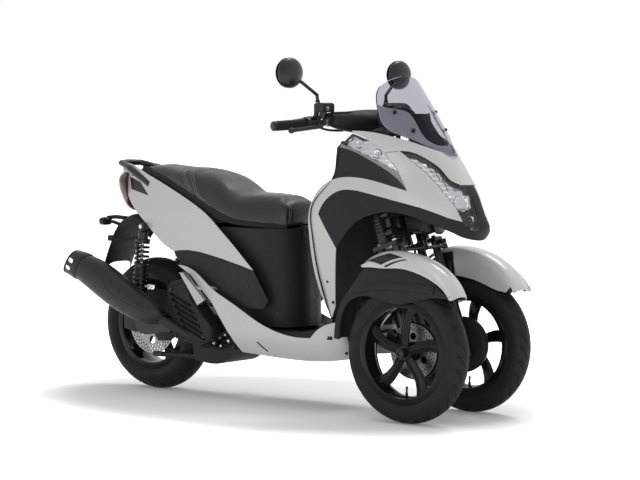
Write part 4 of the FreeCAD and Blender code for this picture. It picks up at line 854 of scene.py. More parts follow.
def make_tyre(name, body, centre, radius, width, rim_radius, tread):
    """A tyre whose section is swept round in small steps, with its grooves cut in."""
    half = width / 2
    bead = (rim_radius - 0.004, half * 0.78)
    shoulder = (radius - width * 0.2, half * 0.86)
    wall = ((bead[0] + shoulder[0]) / 2, half)
    run = [Vector((bead[0], -bead[1] * 0.5))]
    run += outline_run((bead[0], -bead[1]), (wall[0], -wall[1]), (shoulder[0], -shoulder[1]), 16)
    run += outline_run((shoulder[0], -shoulder[1]), (radius, 0.0), shoulder, 44)
    run += outline_run(shoulder, wall, bead, 16) + [Vector(bead), Vector((bead[0], bead[1] * 0.5))]
    count = 660
    angle = np.linspace(0, 2 * np.pi, count, endpoint=False)[:, None]
    radii = np.array([p.x for p in run])[None, :]
    offsets = np.array([p.y for p in run])[None, :]
    across = offsets / shoulder[1]
    crown = np.clip((radii - wall[0] - 0.012) / 0.01, 0, 1)
    cut = tread_cut(angle + 0 * radii, across + 0 * angle, tread.pitch,
                    tread.groove / (2 * math.pi * radius) * tread.pitch)
    ribs = 0.0005 * np.sin(np.clip((radii - bead[0] - 0.006) / 0.02, 0, 1) * 3 * np.pi) * (crown < 0.01)
    depth = cut * tread.depth * crown
    normal = np.gradient(np.array([[p.x, p.y] for p in run]), axis=0)
    normal = np.stack([normal[:, 1], -normal[:, 0]], axis=1)
    normal /= np.linalg.norm(normal, axis=1)[:, None]
    move = -depth - 0.0006 + ribs
    r = radii + 0 * angle + move * normal[:, 0][None, :]
    w = offsets + move * normal[:, 1][None, :]
    columns = [centre.x + r * np.cos(angle), centre.y + w + 0 * angle, centre.z + r * np.sin(angle)]
    points = np.stack(columns, axis=-1).reshape(-1, 3).tolist()
    m = len(run)
    faces = []
    for k in range(count):
        n = (k + 1) % count
        for j in range(m):
            i = (j + 1) % m
            faces.append((k * m + j, k * m + i, n * m + i, n * m + j))
    piece = Piece("road_" + name, "tyre")
    piece.add_mesh(mesh_of("tread", (points, faces)))
    return piece.done(body, [name], sharp=40.0)


def make_rim(name, body, centre, rim_radius, tyre_width, side, hub_half, valve_angle):
    """Cast wheel: rounded barrel, five ridged blades and a stepped hub."""
    half = tyre_width / 2 * 0.78
    bead, lip, inner = rim_radius - 0.004, half + 0.003, rim_radius - 0.025
    piece = Piece("cast_" + name, "wheel")
    piece.add(lathe([(inner, -lip), (rim_radius - 0.003, -lip), (rim_radius, -lip + 0.0015),
                     (rim_radius - 0.001, -half), (bead, -half + 0.001), (bead, half - 0.001),
                     (rim_radius - 0.001, half), (rim_radius, lip - 0.0015), (rim_radius - 0.003, lip),
                     (inner + 0.004, lip), (inner + 0.001, lip - 0.004), (inner - 0.001, half * 0.6),
                     (inner - 0.006, half * 0.3), (inner - 0.006, -half * 0.3),
                     (inner - 0.001, -half * 0.6), (inner + 0.001, -lip + 0.004)], centre, steps=120,
                    closed=True))
    piece.add(lathe([(0.0085, -hub_half), (0.030, -hub_half), (0.034, -hub_half + 0.004),
                     (0.034, -hub_half * 0.4), (0.027, 0.0), (0.030, hub_half * 0.55),
                     (0.029, hub_half - 0.003), (0.026, hub_half), (0.0085, hub_half)], centre,
                    axis=(0, side, 0), steps=60, closed=True))
    for number in range(5):
        a = math.radians(90.0 + 72.0 * number)
        sections = []
        for share in (0.0, 0.18, 0.4, 0.6, 0.8, 1.0):
            radius = 0.022 + (inner - 0.022 + 0.002) * share
            turn = a + math.radians(-9.0 * share + 5.0 * math.sin(share * math.pi))
            ray = Vector((math.cos(turn), 0, math.sin(turn)))
            across = Vector((-math.sin(turn), 0, math.cos(turn)))
            wide = 0.016 + 0.012 * share ** 1.5
            deep = 0.012 - 0.003 * math.sin(share * math.pi)
            rise = side * (hub_half * 0.35 + 0.006 - 0.004 * share)
            mid = Vector(centre) + ray * radius + Vector((0, rise, 0))
            ridge = wide * 0.15
            outline = ((-wide, -deep * 0.2), (-wide * 0.96, deep * 0.35), (-ridge - 0.0015, deep * 0.9),
                       (-ridge, deep), (ridge, deep), (ridge + 0.0015, deep * 0.9),
                       (wide * 0.96, deep * 0.35), (wide, -deep * 0.2), (wide * 0.6, -deep),
                       (-wide * 0.6, -deep))
            sections.append([mid + across * u + Vector((0, side * v, 0)) for u, v in outline])
        piece.add(stacked(sections))
    a = math.radians(valve_angle)
    ray = Vector((math.cos(a), 0, math.sin(a)))
    foot = Vector(centre) + ray * (inner - 0.004)
    piece.turned("rubber", [(0, 0), (5.5, 0), (5, 12), (3.5, 14), (3.5, 26), (4.2, 26.5), (4.2, 34),
                            (3, 35), (0, 35)], foot, axis=-ray, steps=12)
    return piece.done(body, [name])


def make_disc(name, body, centre, radius, low, finish):
    """A drilled brake disc. Its right face is at low."""
    rows = [(0.93, 36, 0.03, 0.0), (0.85, 36, 0.03, 0.087), (0.77, 36, 0.03, 0.174)]
    windows = [(0.55, 6, 0.13, math.radians(30.0))]
    mesh = grown(blank(), disc_plan(rows, windows), Radius=radius, Bore=DISC_BORE_R, Thickness=DISC_THICKNESS,
                 Material=FINISHES[finish])
    mesh.transform(Matrix.Rotation(math.radians(-90.0), 4, "X"))
    mesh.transform(Matrix.Translation(Vector((centre.x, low, centre.z))))
    piece = Piece("drilled_" + name, finish)
    piece.add_mesh(mesh)
    return piece.done(body, [name], sharp=30.0)


# Seat

SEAT_SEAMS = (((236, 0, 879), (240, -40, 877), (248, -70, 870), (262, -100, 855), (282, -124, 833),
               (300, -133, 795), (330, -137, 755), (372, -142, 728), (400, -143, 716)),
              ((196, 0, 878), (200, -40, 877), (206, -70, 868), (219, -98, 851), (240, -116, 825),
               (262, -124, 790), (285, -128, 765)), ((684, 0, 774), (692, -30, 771), (706, -52, 764),
                                                     (720, -68, 742), (728, -74, 710), (733, -78, 672)), )


def seam_lines():
    lines = []
    for seam in SEAT_SEAMS:
        right = [back(*p) for p in seam]
        lines.append([Vector((p.x, -p.y, p.z)) for p in right[:0:-1]] + right)
    return lines


def evenly(points, step):
    """Points along a run of straight lines, a step apart."""
    out = []
    for a, b in zip(points, points[1:]):
        count = max(1, round((b - a).length / step))
        out += [a.lerp(b, k / count) for k in range(count)]
    return out + [points[-1]]


def rounded_run(points, step):
    """Points a step apart along the smooth curve through a run."""
    line = baked(linked("run", smooth_curve(points, 12)))
    return evenly([v.co.copy() for v in line.vertices], step)


def voxel_copy(source, size):
    """A closed skin of even squares over a mesh."""
    holder = linked("cushion", source)
    grid = holder.modifiers.new("Grid", "REMESH")
    grid.mode = "VOXEL"
    grid.voxel_size = size
    return baked(holder)


TAUT_PASSES = 14
FILL_PRESSURE = 4.0
FILL_FRAMES = 20
SEAM_HOLD = 0.007
SEAM_REACH = 0.014
STITCH_SHIFT = 0.0055


def swollen(mesh, held, reach):
    """Fills the cushion with cloth pressure, and then smooths the cover.

    Held vertices stay, and the pressure moves no point further than the reach.
    """
    scene = bpy.context.scene
    holder = linked("filling", mesh)
    group = holder.vertex_groups.new(name="held")
    for weight in sorted(set(held.values())):
        group.add([k for k, w in held.items() if w == weight], weight, "REPLACE")
    start = np.array([v.co[:] for v in mesh.vertices])
    cloth = holder.modifiers.new("Filling", "CLOTH")
    cloth.settings.use_pressure = True
    cloth.settings.uniform_pressure_force = FILL_PRESSURE
    cloth.settings.effector_weights.gravity = 0.0
    cloth.settings.vertex_group_mass = "held"
    cloth.point_cache.frame_start = 1
    cloth.point_cache.frame_end = FILL_FRAMES
    for number in range(1, FILL_FRAMES + 1):
        scene.frame_set(number)
    result = holder.evaluated_get(bpy.context.evaluated_depsgraph_get())
    end = np.array([v.co[:] for v in result.data.vertices])
    scene.frame_set(1)
    move = end - start
    far = np.linalg.norm(move, axis=1)
    move *= (np.minimum(far, reach) / np.maximum(far, 1e-9))[:, None]
    holder.modifiers.clear()
    bpy.data.objects.remove(holder)
    for vertex, place in zip(mesh.vertices, start + move):
        vertex.co = place
    bm = bmesh.new()
    bm.from_mesh(mesh)
    for _ in range(TAUT_PASSES):
        bmesh.ops.smooth_vert(bm, verts=[v for v in bm.verts if v.index not in held], factor=0.5,
                              use_axis_x=True, use_axis_y=True, use_axis_z=True)
    bm.to_mesh(mesh)
    bm.free()
    mesh.update()


def make_seat(seat):
    bm = welded("seat")
    bm.normal_update()
    for vertex in bm.verts:
        vertex.co -= vertex.normal * seat.slack
    source = bpy.data.meshes.new("cushion")
    bm.to_mesh(source)
    bm.free()
    mesh = voxel_copy(source, seat.grid)
    lines = [rounded_run(line, 0.004) for line in seam_lines()]
    places = [place for line in lines for place in line]
    tree = KDTree(len(places))
    for number, place in enumerate(places):
        tree.insert(place, number)
    tree.balance()
    held = {}
    for vertex in mesh.vertices:
        away = tree.find(vertex.co)[2]
        if vertex.normal.z < -0.7 or away < SEAM_HOLD:
            held[vertex.index] = 1.0
    swollen(mesh, held, seat.swell)
    mesh.update()
    normals = [v.normal.copy() for v in mesh.vertices]
    for vertex, normal in zip(mesh.vertices, normals):
        away = tree.find(vertex.co)[2]
        if away < SEAM_REACH and normal.z > -0.5:
            vertex.co -= normal * seat.seam_depth * (1 - (away / SEAM_REACH) ** 2) ** 2
    piece = Piece("padded_seat", "vinyl")
    piece.add_mesh(mesh)
    cushion = piece.done("seat", ["seat"], sharp=0, level=1)
    shape = BVHTree.FromPolygons([v.co for v in mesh.vertices], [p.vertices for p in mesh.polygons])
    plan = stitch_plan()
    stitches = Piece("seat_stitches", "thread")
    for line in lines:
        for shift in (-STITCH_SHIFT, STITCH_SHIFT):
            run = []
            for before, place, after in zip(line, line[1:], line[2:]):
                along = (after - before).normalized()
                spot, normal, _, _ = shape.find_nearest(place)
                spot, normal, _, _ = shape.find_nearest(spot + along.cross(normal).normalized() * shift)
                run.append(spot + normal * 0.0003)
            stitches.add_mesh(grown(path_curve(run), plan, Stitch=seat.stitch, Pitch=seat.stitch * 1.45,
                                    Thread=0.0009, Material=FINISHES["thread"]))
    stitches.done("seat", sharp=60.0, outward=False)


# Small shared shapes

BEAD_SINK = 0.0006
DECAL_LIFT = 0.0005
LENS_WALL = 0.0032


def strip(hits, width, height):
    """A low rounded bead along places on a surface, each given with its normal."""
    sections = []
    last = len(hits) - 1
    for k, (place, normal) in enumerate(hit[:2] for hit in hits):
        along = (hits[min(k + 1, last)][0] - hits[max(k - 1, 0)][0]).normalized()
        across = along.cross(normal).normalized()
        outline = ((-1.0, -BEAD_SINK), (-0.8, height * 0.6), (-0.4, height), (0.4, height),
                   (0.8, height * 0.6), (1.0, -BEAD_SINK))
        sections.append([place + across * (u * width / 2) + normal * v for u, v in outline])
    return stacked(sections)


def laid_strip(names, run, side, origin, width, height):
    """A bead that follows a side-view outline on one side of the body."""
    flat = evenly([Vector((x, 0, z)) for x, z in run], 12.0)
    return pinned_strip(names, [(p.x, p.z) for p in flat], side, origin, width, height)


def pinned_strip(names, run, side, origin, width, height):
    """A bead that meets one side of the body at each given place, and is straight between them."""
    return strip([on_side(names, x, z, side, origin) for x, z in run], width, height)


def nearest_strip(name, points, step, width, height):
    """A bead along the places of a node that are nearest to a run of points."""
    tree = surface_of(name)
    return strip([tree.find_nearest(p) for p in evenly(points, step)], width, height)


def slab(top, under):
    """A thin closed sheet between two grids of points."""
    rows, columns = len(top), len(top[0])
    points = [p for row in top for p in row] + [p for row in under for p in row]
    half = rows * columns
    faces = []
    for i in range(rows - 1):
        for j in range(columns - 1):
            a = i * columns + j
            faces.append((a, a + 1, a + columns + 1, a + columns))
            faces.append((half + a, half + a + columns, half + a + columns + 1, half + a + 1))
    edge = list(range(columns)) + [i * columns + columns - 1 for i in range(1, rows)]
    edge += [(rows - 1) * columns + j for j in range(columns - 2, -1, -1)] + [i * columns
            for i in range(rows - 2, 0, -1)]
    for a, b in zip(edge, edge[1:] + edge[:1]):
        faces.append((a, half + a, half + b, b))
    return points, faces


def decal(name, corners, seen_from, rows=8, columns=14):
    """A thin printed patch on a node's surface between four corners, laid from the side it is seen from."""
    seen_from = Vector(seen_from).normalized()
    top, under = [], []
    for i in range(rows):
        u = i / (rows - 1)
        top.append([])
        under.append([])
        for j in range(columns):
            v = j / (columns - 1)
            place = corners[0].lerp(corners[1], v).lerp(corners[3].lerp(corners[2], v), u)
            spot, normal = touch((name,), place + seen_from * 0.25, -seen_from)
            top[-1].append(spot + normal * DECAL_LIFT)
            under[-1].append(spot - normal * DECAL_LIFT)
    return slab(top, under)


def sunk_copy(name, depth, piece):
    """A bowl behind a lens: its outer skin moved inward, with a wall round its edge."""
    bm = welded(name)
    bm.normal_update()
    inner = [f for f in bm.faces if f.normal.dot((f.calc_center_median() - HEAD_CORE).normalized()) < 0.35]
    bmesh.ops.delete(bm, geom=inner, context="FACES")
    bm.normal_update()
    corners = {v: number for number, v in enumerate(bm.verts)}
    low = [v.co - v.normal * depth for v in bm.verts]
    high = [v.co - v.normal * LENS_WALL for v in bm.verts]
    piece.add((low, [[corners[v] for v in f.verts] for f in bm.faces]), "bowl")
    walls = []
    for edge in bm.edges:
        if len(edge.link_faces) == 1:
            a, b = (corners[v] for v in edge.verts)
            walls.append((a, b, b + len(low), a + len(low)))
    used = sorted({i for w in walls for i in w})
    place = {old: new for new, old in enumerate(used)}
    both = low + high
    piece.add(([both[i] for i in used], [[place[i] for i in w] for w in walls]), "gloss_black")
    bm.free()


SCREW_OUTLINES = {
    "hex": (6, ((0.0, -0.2), (1.15, -0.2), (1.15, 0.12), (0.9, 0.12), (0.9, 0.7), (0.8, 0.8), (0.0, 0.8))),
    "socket": (12, ((0.0, -0.2), (1.0, -0.2), (1.0, 0.2), (0.8, 0.4), (0.42, 0.45), (0.42, 0.1), (0.0, 0.1))),
}


def screw_head(kind):
    """A screw head of radius 1 on Z, for the screw trees."""
    steps, outline = SCREW_OUTLINES[kind]
    return linked("head", mesh_of("head", lathe(outline, (0, 0, 0), (0, 0, 1), steps)))


def screws(spots, finish, kind):
    """One mesh with a head at each (place, direction, radius)."""
    mesh = mesh_of("spots", ([spot[0] for spot in spots], []))
    mesh.attributes.new("facing", "FLOAT_VECTOR", "POINT")
    mesh.attributes.new("size", "FLOAT", "POINT")
    for k, (_, direction, radius) in enumerate(spots):
        mesh.attributes["facing"].data[k].vector = direction
        mesh.attributes["size"].data[k].value = radius
    head = screw_head(kind)
    made = grown(mesh, head_plan(), Head=head, Material=FINISHES[finish])
    bpy.data.objects.remove(head)
    return made


# Lamps

LENS_TOP = ((-70, 946), (-26, 938), (2, 922), (19, 911), (52, 885), (76, 857), (86, 846), (104, 833),
            (116, 826))
HEAD_CORE = fore(-60, 0, 820)


def reflector(centre, normal, radius, depth, piece):
    """A dished bright bowl with its bulb, set back from the lens."""
    base = centre - normal * 0.010
    piece.add(lathe([(radius, 0.002), (radius * 1.06, 0.0), (radius * 1.06, -0.006), (radius * 0.5, -depth),
                     (0.0, -depth - 0.002), (0.0, -depth), (radius * 0.5, -depth * 0.86),
                     (radius * 0.85, -depth * 0.45), (radius, 0.002)], base, normal, 9), "chrome")
    piece.add(lathe([(0.0, -depth), (radius * 0.24, -depth), (radius * 0.24, -depth * 0.5),
                     (0.0, -depth * 0.35)], base, normal, 16), "alloy")


def make_head_lamps():
    piece = Piece("head_lamp_bowls", "chrome")
    sunk_copy("headlight", 0.020, piece)
    for side, _ in SIDES:
        for (y, z), radius, depth in (((61, 772), 0.028, 0.012), ((50, 716), 0.016, 0.010)):
            spot, normal = on_end(("headlight",), side * y, z, 1)
            reflector(spot - normal * 0.006, normal, radius, depth, piece)
            piece.add(lathe([(radius * 1.06, -0.001), (radius * 1.3, -0.001), (radius * 1.3, -0.005),
                             (radius * 1.06, -0.005)], spot - normal * 0.015, normal, 5, closed=True),
                      "bowl")
        run = [on_side(("headlight", "hood"), x, z, side, FRONT_X)[0] for x, z in LENS_TOP]
        piece.add(nearest_strip("headlight", run, 0.012, 0.007, 0.0012), "gloss_black")
        for x0, z0, x1, z1 in ((10, 905, 40, 868), (38, 882, 66, 842), (64, 857, 92, 812)):
            a, b = (on_side(("headlight",), x, z, side, FRONT_X) for x, z in ((x0, z0), (x1, z1)))
            rings = [rounded_ring(p - n * 0.013, LEFTWARD, n, 0.003, 0.003, count=8) for p, n in (a, b)]
            piece.add(stacked(rings), "chrome")
    piece.done("chassis", outward=False)


def make_indicator_insides():
    piece = Piece("indicator_bowls", "chrome")
    sunk_copy("indicators", 0.013, piece)
    for side, _ in SIDES:
        for x, z in ((-225, 975), (-150, 940)):
            spot, normal = on_side(("indicators",), x, z, side, FRONT_X)
            piece.turned("bowl", [(18, -0.5), (15, 3), (6, 1), (5, 5.5), (0, 6)], spot - normal * 0.0125,
                         normal, 9)
    piece.done("chassis", outward=False)


def make_tail_details():
    piece = Piece("tail_details", "plastic")
    for k in range(5):
        z = 752 + 18 * k
        half = 44 + 3.0 * k if z < 820 else 52
        places = [on_end(("tail_lamp",), y, z, -1) for y in np.linspace(-half * 0.8, half * 0.8, 9)]
        piece.add(strip(places, 0.003, 0.0015), "red")
    for side, _ in SIDES:
        # A gloss black patch on each rear side cover paints the shade inside the recess below the grab rail.
        outline = ((-78, 90, 832), (-10, 96, 812), (44, 106, 762), (-66, 90, 784))
        shaded_recess = [back(x, side * y, z) for x, y, z in outline]
        piece.add(decal("rear_side_covers", shaded_recess, (0, side, 0)), "gloss_black")
        piece.turned("red", [(0, 0), (16, 0), (16, 4), (0, 6)], back(-158, side * 52, 632), (-1, 0, 0.35), 20)
        piece.add_mesh(tube([back(-150, side * 60, 640), back(-172, side * 80, 652),
                             back(-196, side * 92, 655)], 0.007), "plastic")
        lamp = back(-196, side * 98, 655)
        for finish, outline in (("gloss_black", ((16, 10, 7), (8, 26, 15), (-8, 28, 16), (-12, 26, 14))),
                                ("amber", ((-11, 25, 13), (-16, 20, 9)))):
            rings = [(lamp + Vector((x * MM, 0, 0)), wide * MM, tall * MM) for x, wide, tall in outline]
            piece.ringed(finish, LEFTWARD, UPWARD, rings)
    rings = [(back(x, 0, z), 0.024, 0.010) for x, z in ((-196, 612), (-214, 610))]
    piece.ringed("gloss_black", LEFTWARD, UPWARD, rings, count=16)
    spots = [(back(-206, y, 587), Vector((-1, 0, 0)), 0.006) for y in (-70, 70)]
    piece.screw(spots, "black_steel")
    piece.done("chassis")


# Screen, bar and mirrors

def make_screen_fittings():
    piece = Piece("screen_fittings", "black_steel")
    spots = []
    for side, _ in SIDES:
        for y, z in ((124, 1086), (98, 1022)):
            spot, normal = on_end(("windscreen",), side * y, z, 1)
            piece.turned("rubber", [(0, 0), (7, 0), (7, 1), (5, 2.2), (0, 2.5)], spot, normal, 20)
            piece.turned("black_steel", [(0, 2), (4, 2), (3.6, 4.5), (1.6, 4.6), (1.6, 3.5), (0, 3.5)],
                         spot, normal, 16)
            inner = spot - normal * 0.002
            piece.turned("rubber", [(0, 0), (5.5, 0), (5.5, -12), (0, -12)], inner, normal, 14)
        arm = [fore(-84, side * 62, 1000), fore(-92, side * 66, 1036), fore(-106, side * 70, 1078)]
        piece.ringed("alloy", LEFTWARD, FORWARD, [(p, 0.009, 0.0035) for p in arm], count=12)
        spots += [(p + Vector((0.0036, 0, 0)), Vector((1, 0, 0.2)), 0.0045) for p in arm[::2]]
    beam = [fore(-108 - 0.0006 * y * y, y, 1072) for y in range(-88, 89, 11)]
    piece.ringed("enamel", UPWARD, FORWARD, [(p, 0.007, 0.004) for p in beam], count=12)
    piece.screw(spots, "steel")
    piece.done("chassis")


def make_screen_throat():
    """Black wall behind the mouth of the screen's base."""
    piece = Piece("screen_throat", "gloss_black")
    top, under = [], []
    for z, x in ((962, 41), (980, 24), (1000, 6), (1020, -10), (1040, -25), (1058, -38), (1078, -52)):
        row = [fore(x - 36 - 20 * (abs(y) / 66.0) ** 1.8, y, z) for y in range(-72, 73, 12)]
        top.append(row)
        under.append([p - Vector((0.002, 0, 0.001)) for p in row])
    piece.add(slab(top, under), "gloss_black")
    piece.done("chassis")


def make_meter_face():
    piece = Piece("meter_face", "dial")
    across, up = Vector((0, 1, 0)), Vector((0.64, 0, 0.77))
    normal = Vector((-0.77, 0, 0.64))
    centre = fore(-208, 0, 1088)
    for finish, outline in (("plastic", ((-10, 80, 34), (6, 78, 33), (8, 74, 30))),
                            ("dial", ((7, 70, 26.5), (8.6, 69, 26)))):
        rings = [(centre + normal * rise * MM, wide * MM, tall * MM) for rise, wide, tall in outline]
        piece.ringed(finish, across, up, rings, corner=0.5, count=36)
    for u, w, long, wide in ((0, 4, 30, 9), (-44, 6, 9, 4), (44, 6, 9, 4), (0, -14, 44, 1.4)):
        spot = centre + across * (u * MM) + up * (w * MM)
        rings = [(spot + normal * rise, long * MM, wide * MM) for rise in (0.0085, 0.0091)]
        piece.ringed("satin_grey", across, up, rings, corner=0.3, count=16)
    piece.done("chassis")


def make_bar_details():
    piece = Piece("bar_details", "rubber")
    ribs = ring_plan()
    spots = []
    for side, _ in SIDES:
        inner, outer = fore(-418, side * 250, 1043), fore(-458, side * 375, 1035)
        along = (outer - inner).normalized()
        sleeve = path_curve(evenly([inner + along * 0.012, outer - along * 0.014], 0.01))
        piece.add_mesh(grown(sleeve, ribs, Count=26, Radius=0.0168, Thickness=0.0011,
                             Material=FINISHES["rubber"]), "rubber")
        piece.turned("rubber", [(0, 0), (19, 0), (20, 2), (20, 5), (17, 6)], inner - along * 0.004, along, 28)
        piece.turned("enamel", [(0, -6), (12, -6), (16.5, -1), (17.2, 4), (16.5, 12), (12, 16), (0, 16.5)],
                     outer - along * 0.012, along, 28)
        for u, f, up, w, finish in ((228, -412, 1062, 8, "rubber"), (243, -402, 1056, 6, "satin_grey"),
                                    (236, -424, 1054, 7, "rubber")):
            place = fore(f, side * u, up)
            normal = (place - fore(-410, side * u, 1048)).normalized()
            piece.add(lathe([(0.0, 0.0), (w * MM, 0.0), (w * MM, 0.006), (w * 0.7 * MM, 0.008),
                             (0.0, 0.0085)], place, normal, 16), finish)
        cap = fore(-363, side * 204, 1114)
        rings = [(cap + Vector((0, 0, rise)), 0.022 - less, 0.033 - less)
                 for rise, less in ((-0.003, 0.0), (0.002, 0.0), (0.004, 0.002))]
        piece.ringed("enamel", FORWARD, LEFTWARD, rings, corner=0.5, count=28)
        spots += [(cap + Vector((dx, dy, 0.004)), Vector((0, 0, 1)), 0.0032) for dx in (-0.014, 0.014)
                  for dy in (-0.025, 0.025)]
        window = fore(-341.6, side * 212, 1098)
        piece.turned("chrome", [(0, 0), (8.5, 0), (8.5, 1), (0, 1.2)], window, FORWARD, 20)
        pivot = fore(-370, side * 207, 1032)
        piece.turned("steel", [(0, 0), (6, 0), (6, 32), (0, 32)], pivot, (0, 0, 1), 14)
        clamp = (fore(-384, side * 196, 1052), fore(-350, side * 196, 1046))
        piece.ringed("alloy", LEFTWARD, UPWARD, [(p, 0.006, 0.013) for p in clamp], count=14)
        piece.turned("black_steel", [(0, 0), (9, 2), (11, 9), (9, 16), (0, 18)],
                     fore(-392, side * 350, 1020) - Vector((0, side * 0.006, 0)), (0, side, 0), 18)
        piece.add_mesh(tube([fore(-372, side * 192, 1076), fore(-330, side * 150, 1082),
                             fore(-300, side * 90, 1076), fore(-286, side * 46, 1046)], 0.0048), "rubber")
        piece.add_mesh(tube([fore(-412, side * 200, 1038), fore(-388, side * 160, 1022),
                             fore(-352, side * 110, 1018)], 0.0042), "rubber")
    piece.screw(spots, "steel")
    seam = []
    for y in range(-160, 161, 8):
        seam.append(touch(("handlebar_cover",), Vector((FRONT_X - 0.62, y * MM, 1.052)), Vector((1, 0, 0))))
    piece.add(strip(seam, 0.002, 0.0003), "rubber")
    piece.done("handlebar")


MIRROR_HALF = (0.066, 0.054)


def make_mirrors():
    piece = Piece("mirror_glass", "gloss_black")
    for side, _ in SIDES:
        head = fore(-420, side * 325, 1223)
        for finish, outline in (("rubber", ((-12, 0.985), (-17, 0.93), (-20, 0.86), (-21, 0.84))),
                                ("mirror", ((-20.5, 0.82), (-21.6, 0.81)))):
            rings = []
            for dx, share in outline:
                wide, tall = MIRROR_HALF[0] * share, MIRROR_HALF[1] * share
                rings.append([head + Vector((dx * MM, wide * math.cos(a), tall * math.sin(a)))
                              for a in np.linspace(0, 2 * math.pi, 40, endpoint=False)])
            piece.add(stacked(rings), finish)
        nut, boot = fore(-393, side * 202.5, 1098), fore(-393.5, side * 203, 1112)
        piece.turned("black_steel", [(0, 0), (9.5, 0), (9.5, 10), (0, 12)], nut, UPWARD, 6)
        piece.turned("rubber", [(0, 0), (9, 0), (7.5, 16), (0, 17)], boot, UPWARD, 18)
    piece.done("handlebar")


# Front suspension

def make_fork_details(side, word):
    y = side * 118
    up = steer(1) - steer(0)
    piece = Piece("fork_details_" + word, "enamel")
    spots = []
    for f in (-22, 46):
        for s, r in ((424, 22), (430, 21), (436, 19)):
            piece.add(lathe([(0.0155, -0.003), (r * MM, -0.003), (r * MM, 0.002), ((r - 2) * MM, 0.003),
                             (0.0155, 0.003)], steer(s, f, y), up, 28, closed=True), "rubber")
        low = steer(214, f, y)
        piece.turned("enamel", [(0, 0), (13, 0), (17, 4), (20.5, 10), (0, 12)],
                     low - up.normalized() * 0.008, up, 28)
        piece.turned("spring", [(15.2, 0), (15.8, 0), (15.8, 190), (15.2, 190)], steer(442, f, y), up, 28,
                     closed=True)
        spots += [(steer(656, f, y), up.normalized(), 0.010)]
    for s in (250, 300):
        for f in (-8, 32):
            spots.append((steer(s, f, y - side * 13.5), Vector((0, -side, 0)), 0.005))
    piece.screw(spots, "steel", "hex")
    centre = Vector((FRONT_X, 0, FRONT_TYRE_R))
    cover = [(0.018, 0.128), (0.088, 0.128), (0.096, 0.131), (0.1, 0.137), (0.101, 0.149), (0.098, 0.1495),
             (0.095, 0.140), (0.088, 0.134), (0.018, 0.133)]
    piece.add(lathe([(r, side * d) for r, d in cover], centre, (0, 1, 0), 64, closed=True), "plastic")
    nut = centre + Vector((0, side * 0.2355, 0))
    piece.turned("enamel", [(0, 0), (17, 0), (17, 7), (11, 8), (11, 4), (0, 4)], nut, (0, side, 0), 6)
    grip = math.radians(158)
    ray = Vector((math.cos(grip), 0, math.sin(grip)))
    jaw = centre + ray * 0.088
    over = Vector((-ray.z, 0, ray.x))
    for shift in (-0.022, 0.022):
        piston = jaw + over * shift + Vector((0, side * 0.128, 0))
        piece.turned("alloy", [(0, 0), (7.5, 0), (7.5, 30), (5, 32), (0, 32)], piston, (0, side, 0), 16)
    piece.add_mesh(tube([jaw + ray * 0.022 + Vector((0, side * 0.15, 0)), steer(330, -52, y + side * 14),
                         steer(430, -50, y), steer(560, -46, y - side * 6), steer(640, -44, y - side * 10)],
                        0.0045), "rubber")
    for s in (380, 500, 610):
        piece.turned("black_steel", [(0, -4), (7.5, -4), (7.5, 4), (0, 4)],
                     steer(s, -50 + (s - 430) * 0.02, y - side * (s > 460) * 4), up, 14)
    piece.done("fork_" + word)


def make_linkage_details():
    piece = Piece("linkage_details", "steel")
    up = steer(1) - steer(0)
    ahead = (steer(0, 1) - steer(0, 0)).normalized()
    spots = []
    for s in (690, 757):
        for y in (-118, 0, 118):
            spots.append((steer(s, 30 if y == 0 else 26, y), ahead, 0.010 if y else 0.012))
    piece.screw(spots, "steel", "hex")
    outline = ((-104, 60, 30), (-98, 70, 36), (-44, 70, 36), (-36, 62, 30))
    rings = [(fore(x, 0, 692), wide * MM, tall * MM) for x, wide, tall in outline]
    piece.ringed("casting", LEFTWARD, UPWARD, rings, corner=0.5)
    piece.turned("enamel", [(0, 0), (34, 0), (40, 8), (40, 16), (30, 22), (12, 22), (10, 27), (0, 28)],
                 fore(-40, 34, 690), FORWARD, 40)
    for side, _ in SIDES:
        top = steer(783, 0, side * 118)
        piece.turned("enamel", [(0, 0), (26, 0), (28, 4), (28, 10), (0, 12)], top, up, 32)
        for k in range(5):
            fold = steer(700 + 12 * k, 0, side * 118)
            piece.turned("casting", [(24, -2), (26.5, 0), (24, 2)], fold, up, 30, closed=True)
    piece.done("chassis")


# Fenders and body trim

def make_fender_trim(side, word):
    piece = Piece("fender_trim_" + word, "plastic")
    cover = "fender_cover_" + word
    corners = [fore(-142, side * 230, 551), fore(-52, side * 228, 594), fore(12, side * 239, 584),
               fore(-71, side * 243, 544)]
    piece.add(decal(cover, corners, (0, side * 0.7, 0.7)), "gloss_black")
    a, b = fore(-60, side * 244, 541), fore(26, side * 244, 579)
    c, d = fore(34, side * 244, 575), fore(-50, side * 244, 537)
    piece.add(decal(cover, [a, b, c, d], (0, side * 0.7, 0.7), rows=4), "gloss_black")
    spots = []
    for x in (-150, 60):
        spots.append((*on_side(("fender_base_" + word,), x, 470, side, FRONT_X), 0.006))
    piece.screw(spots, "black_steel")
    outline = ((-190, 462), (-132, 475), (-36, 484), (75, 483), (150, 478))
    crease = [fore(x, side * 249, z) for x, z in outline]
    piece.add(nearest_strip("fender_base_" + word, crease, 0.01, 0.034, 0.0045), "plastic")
    piece.done("fork_" + word)


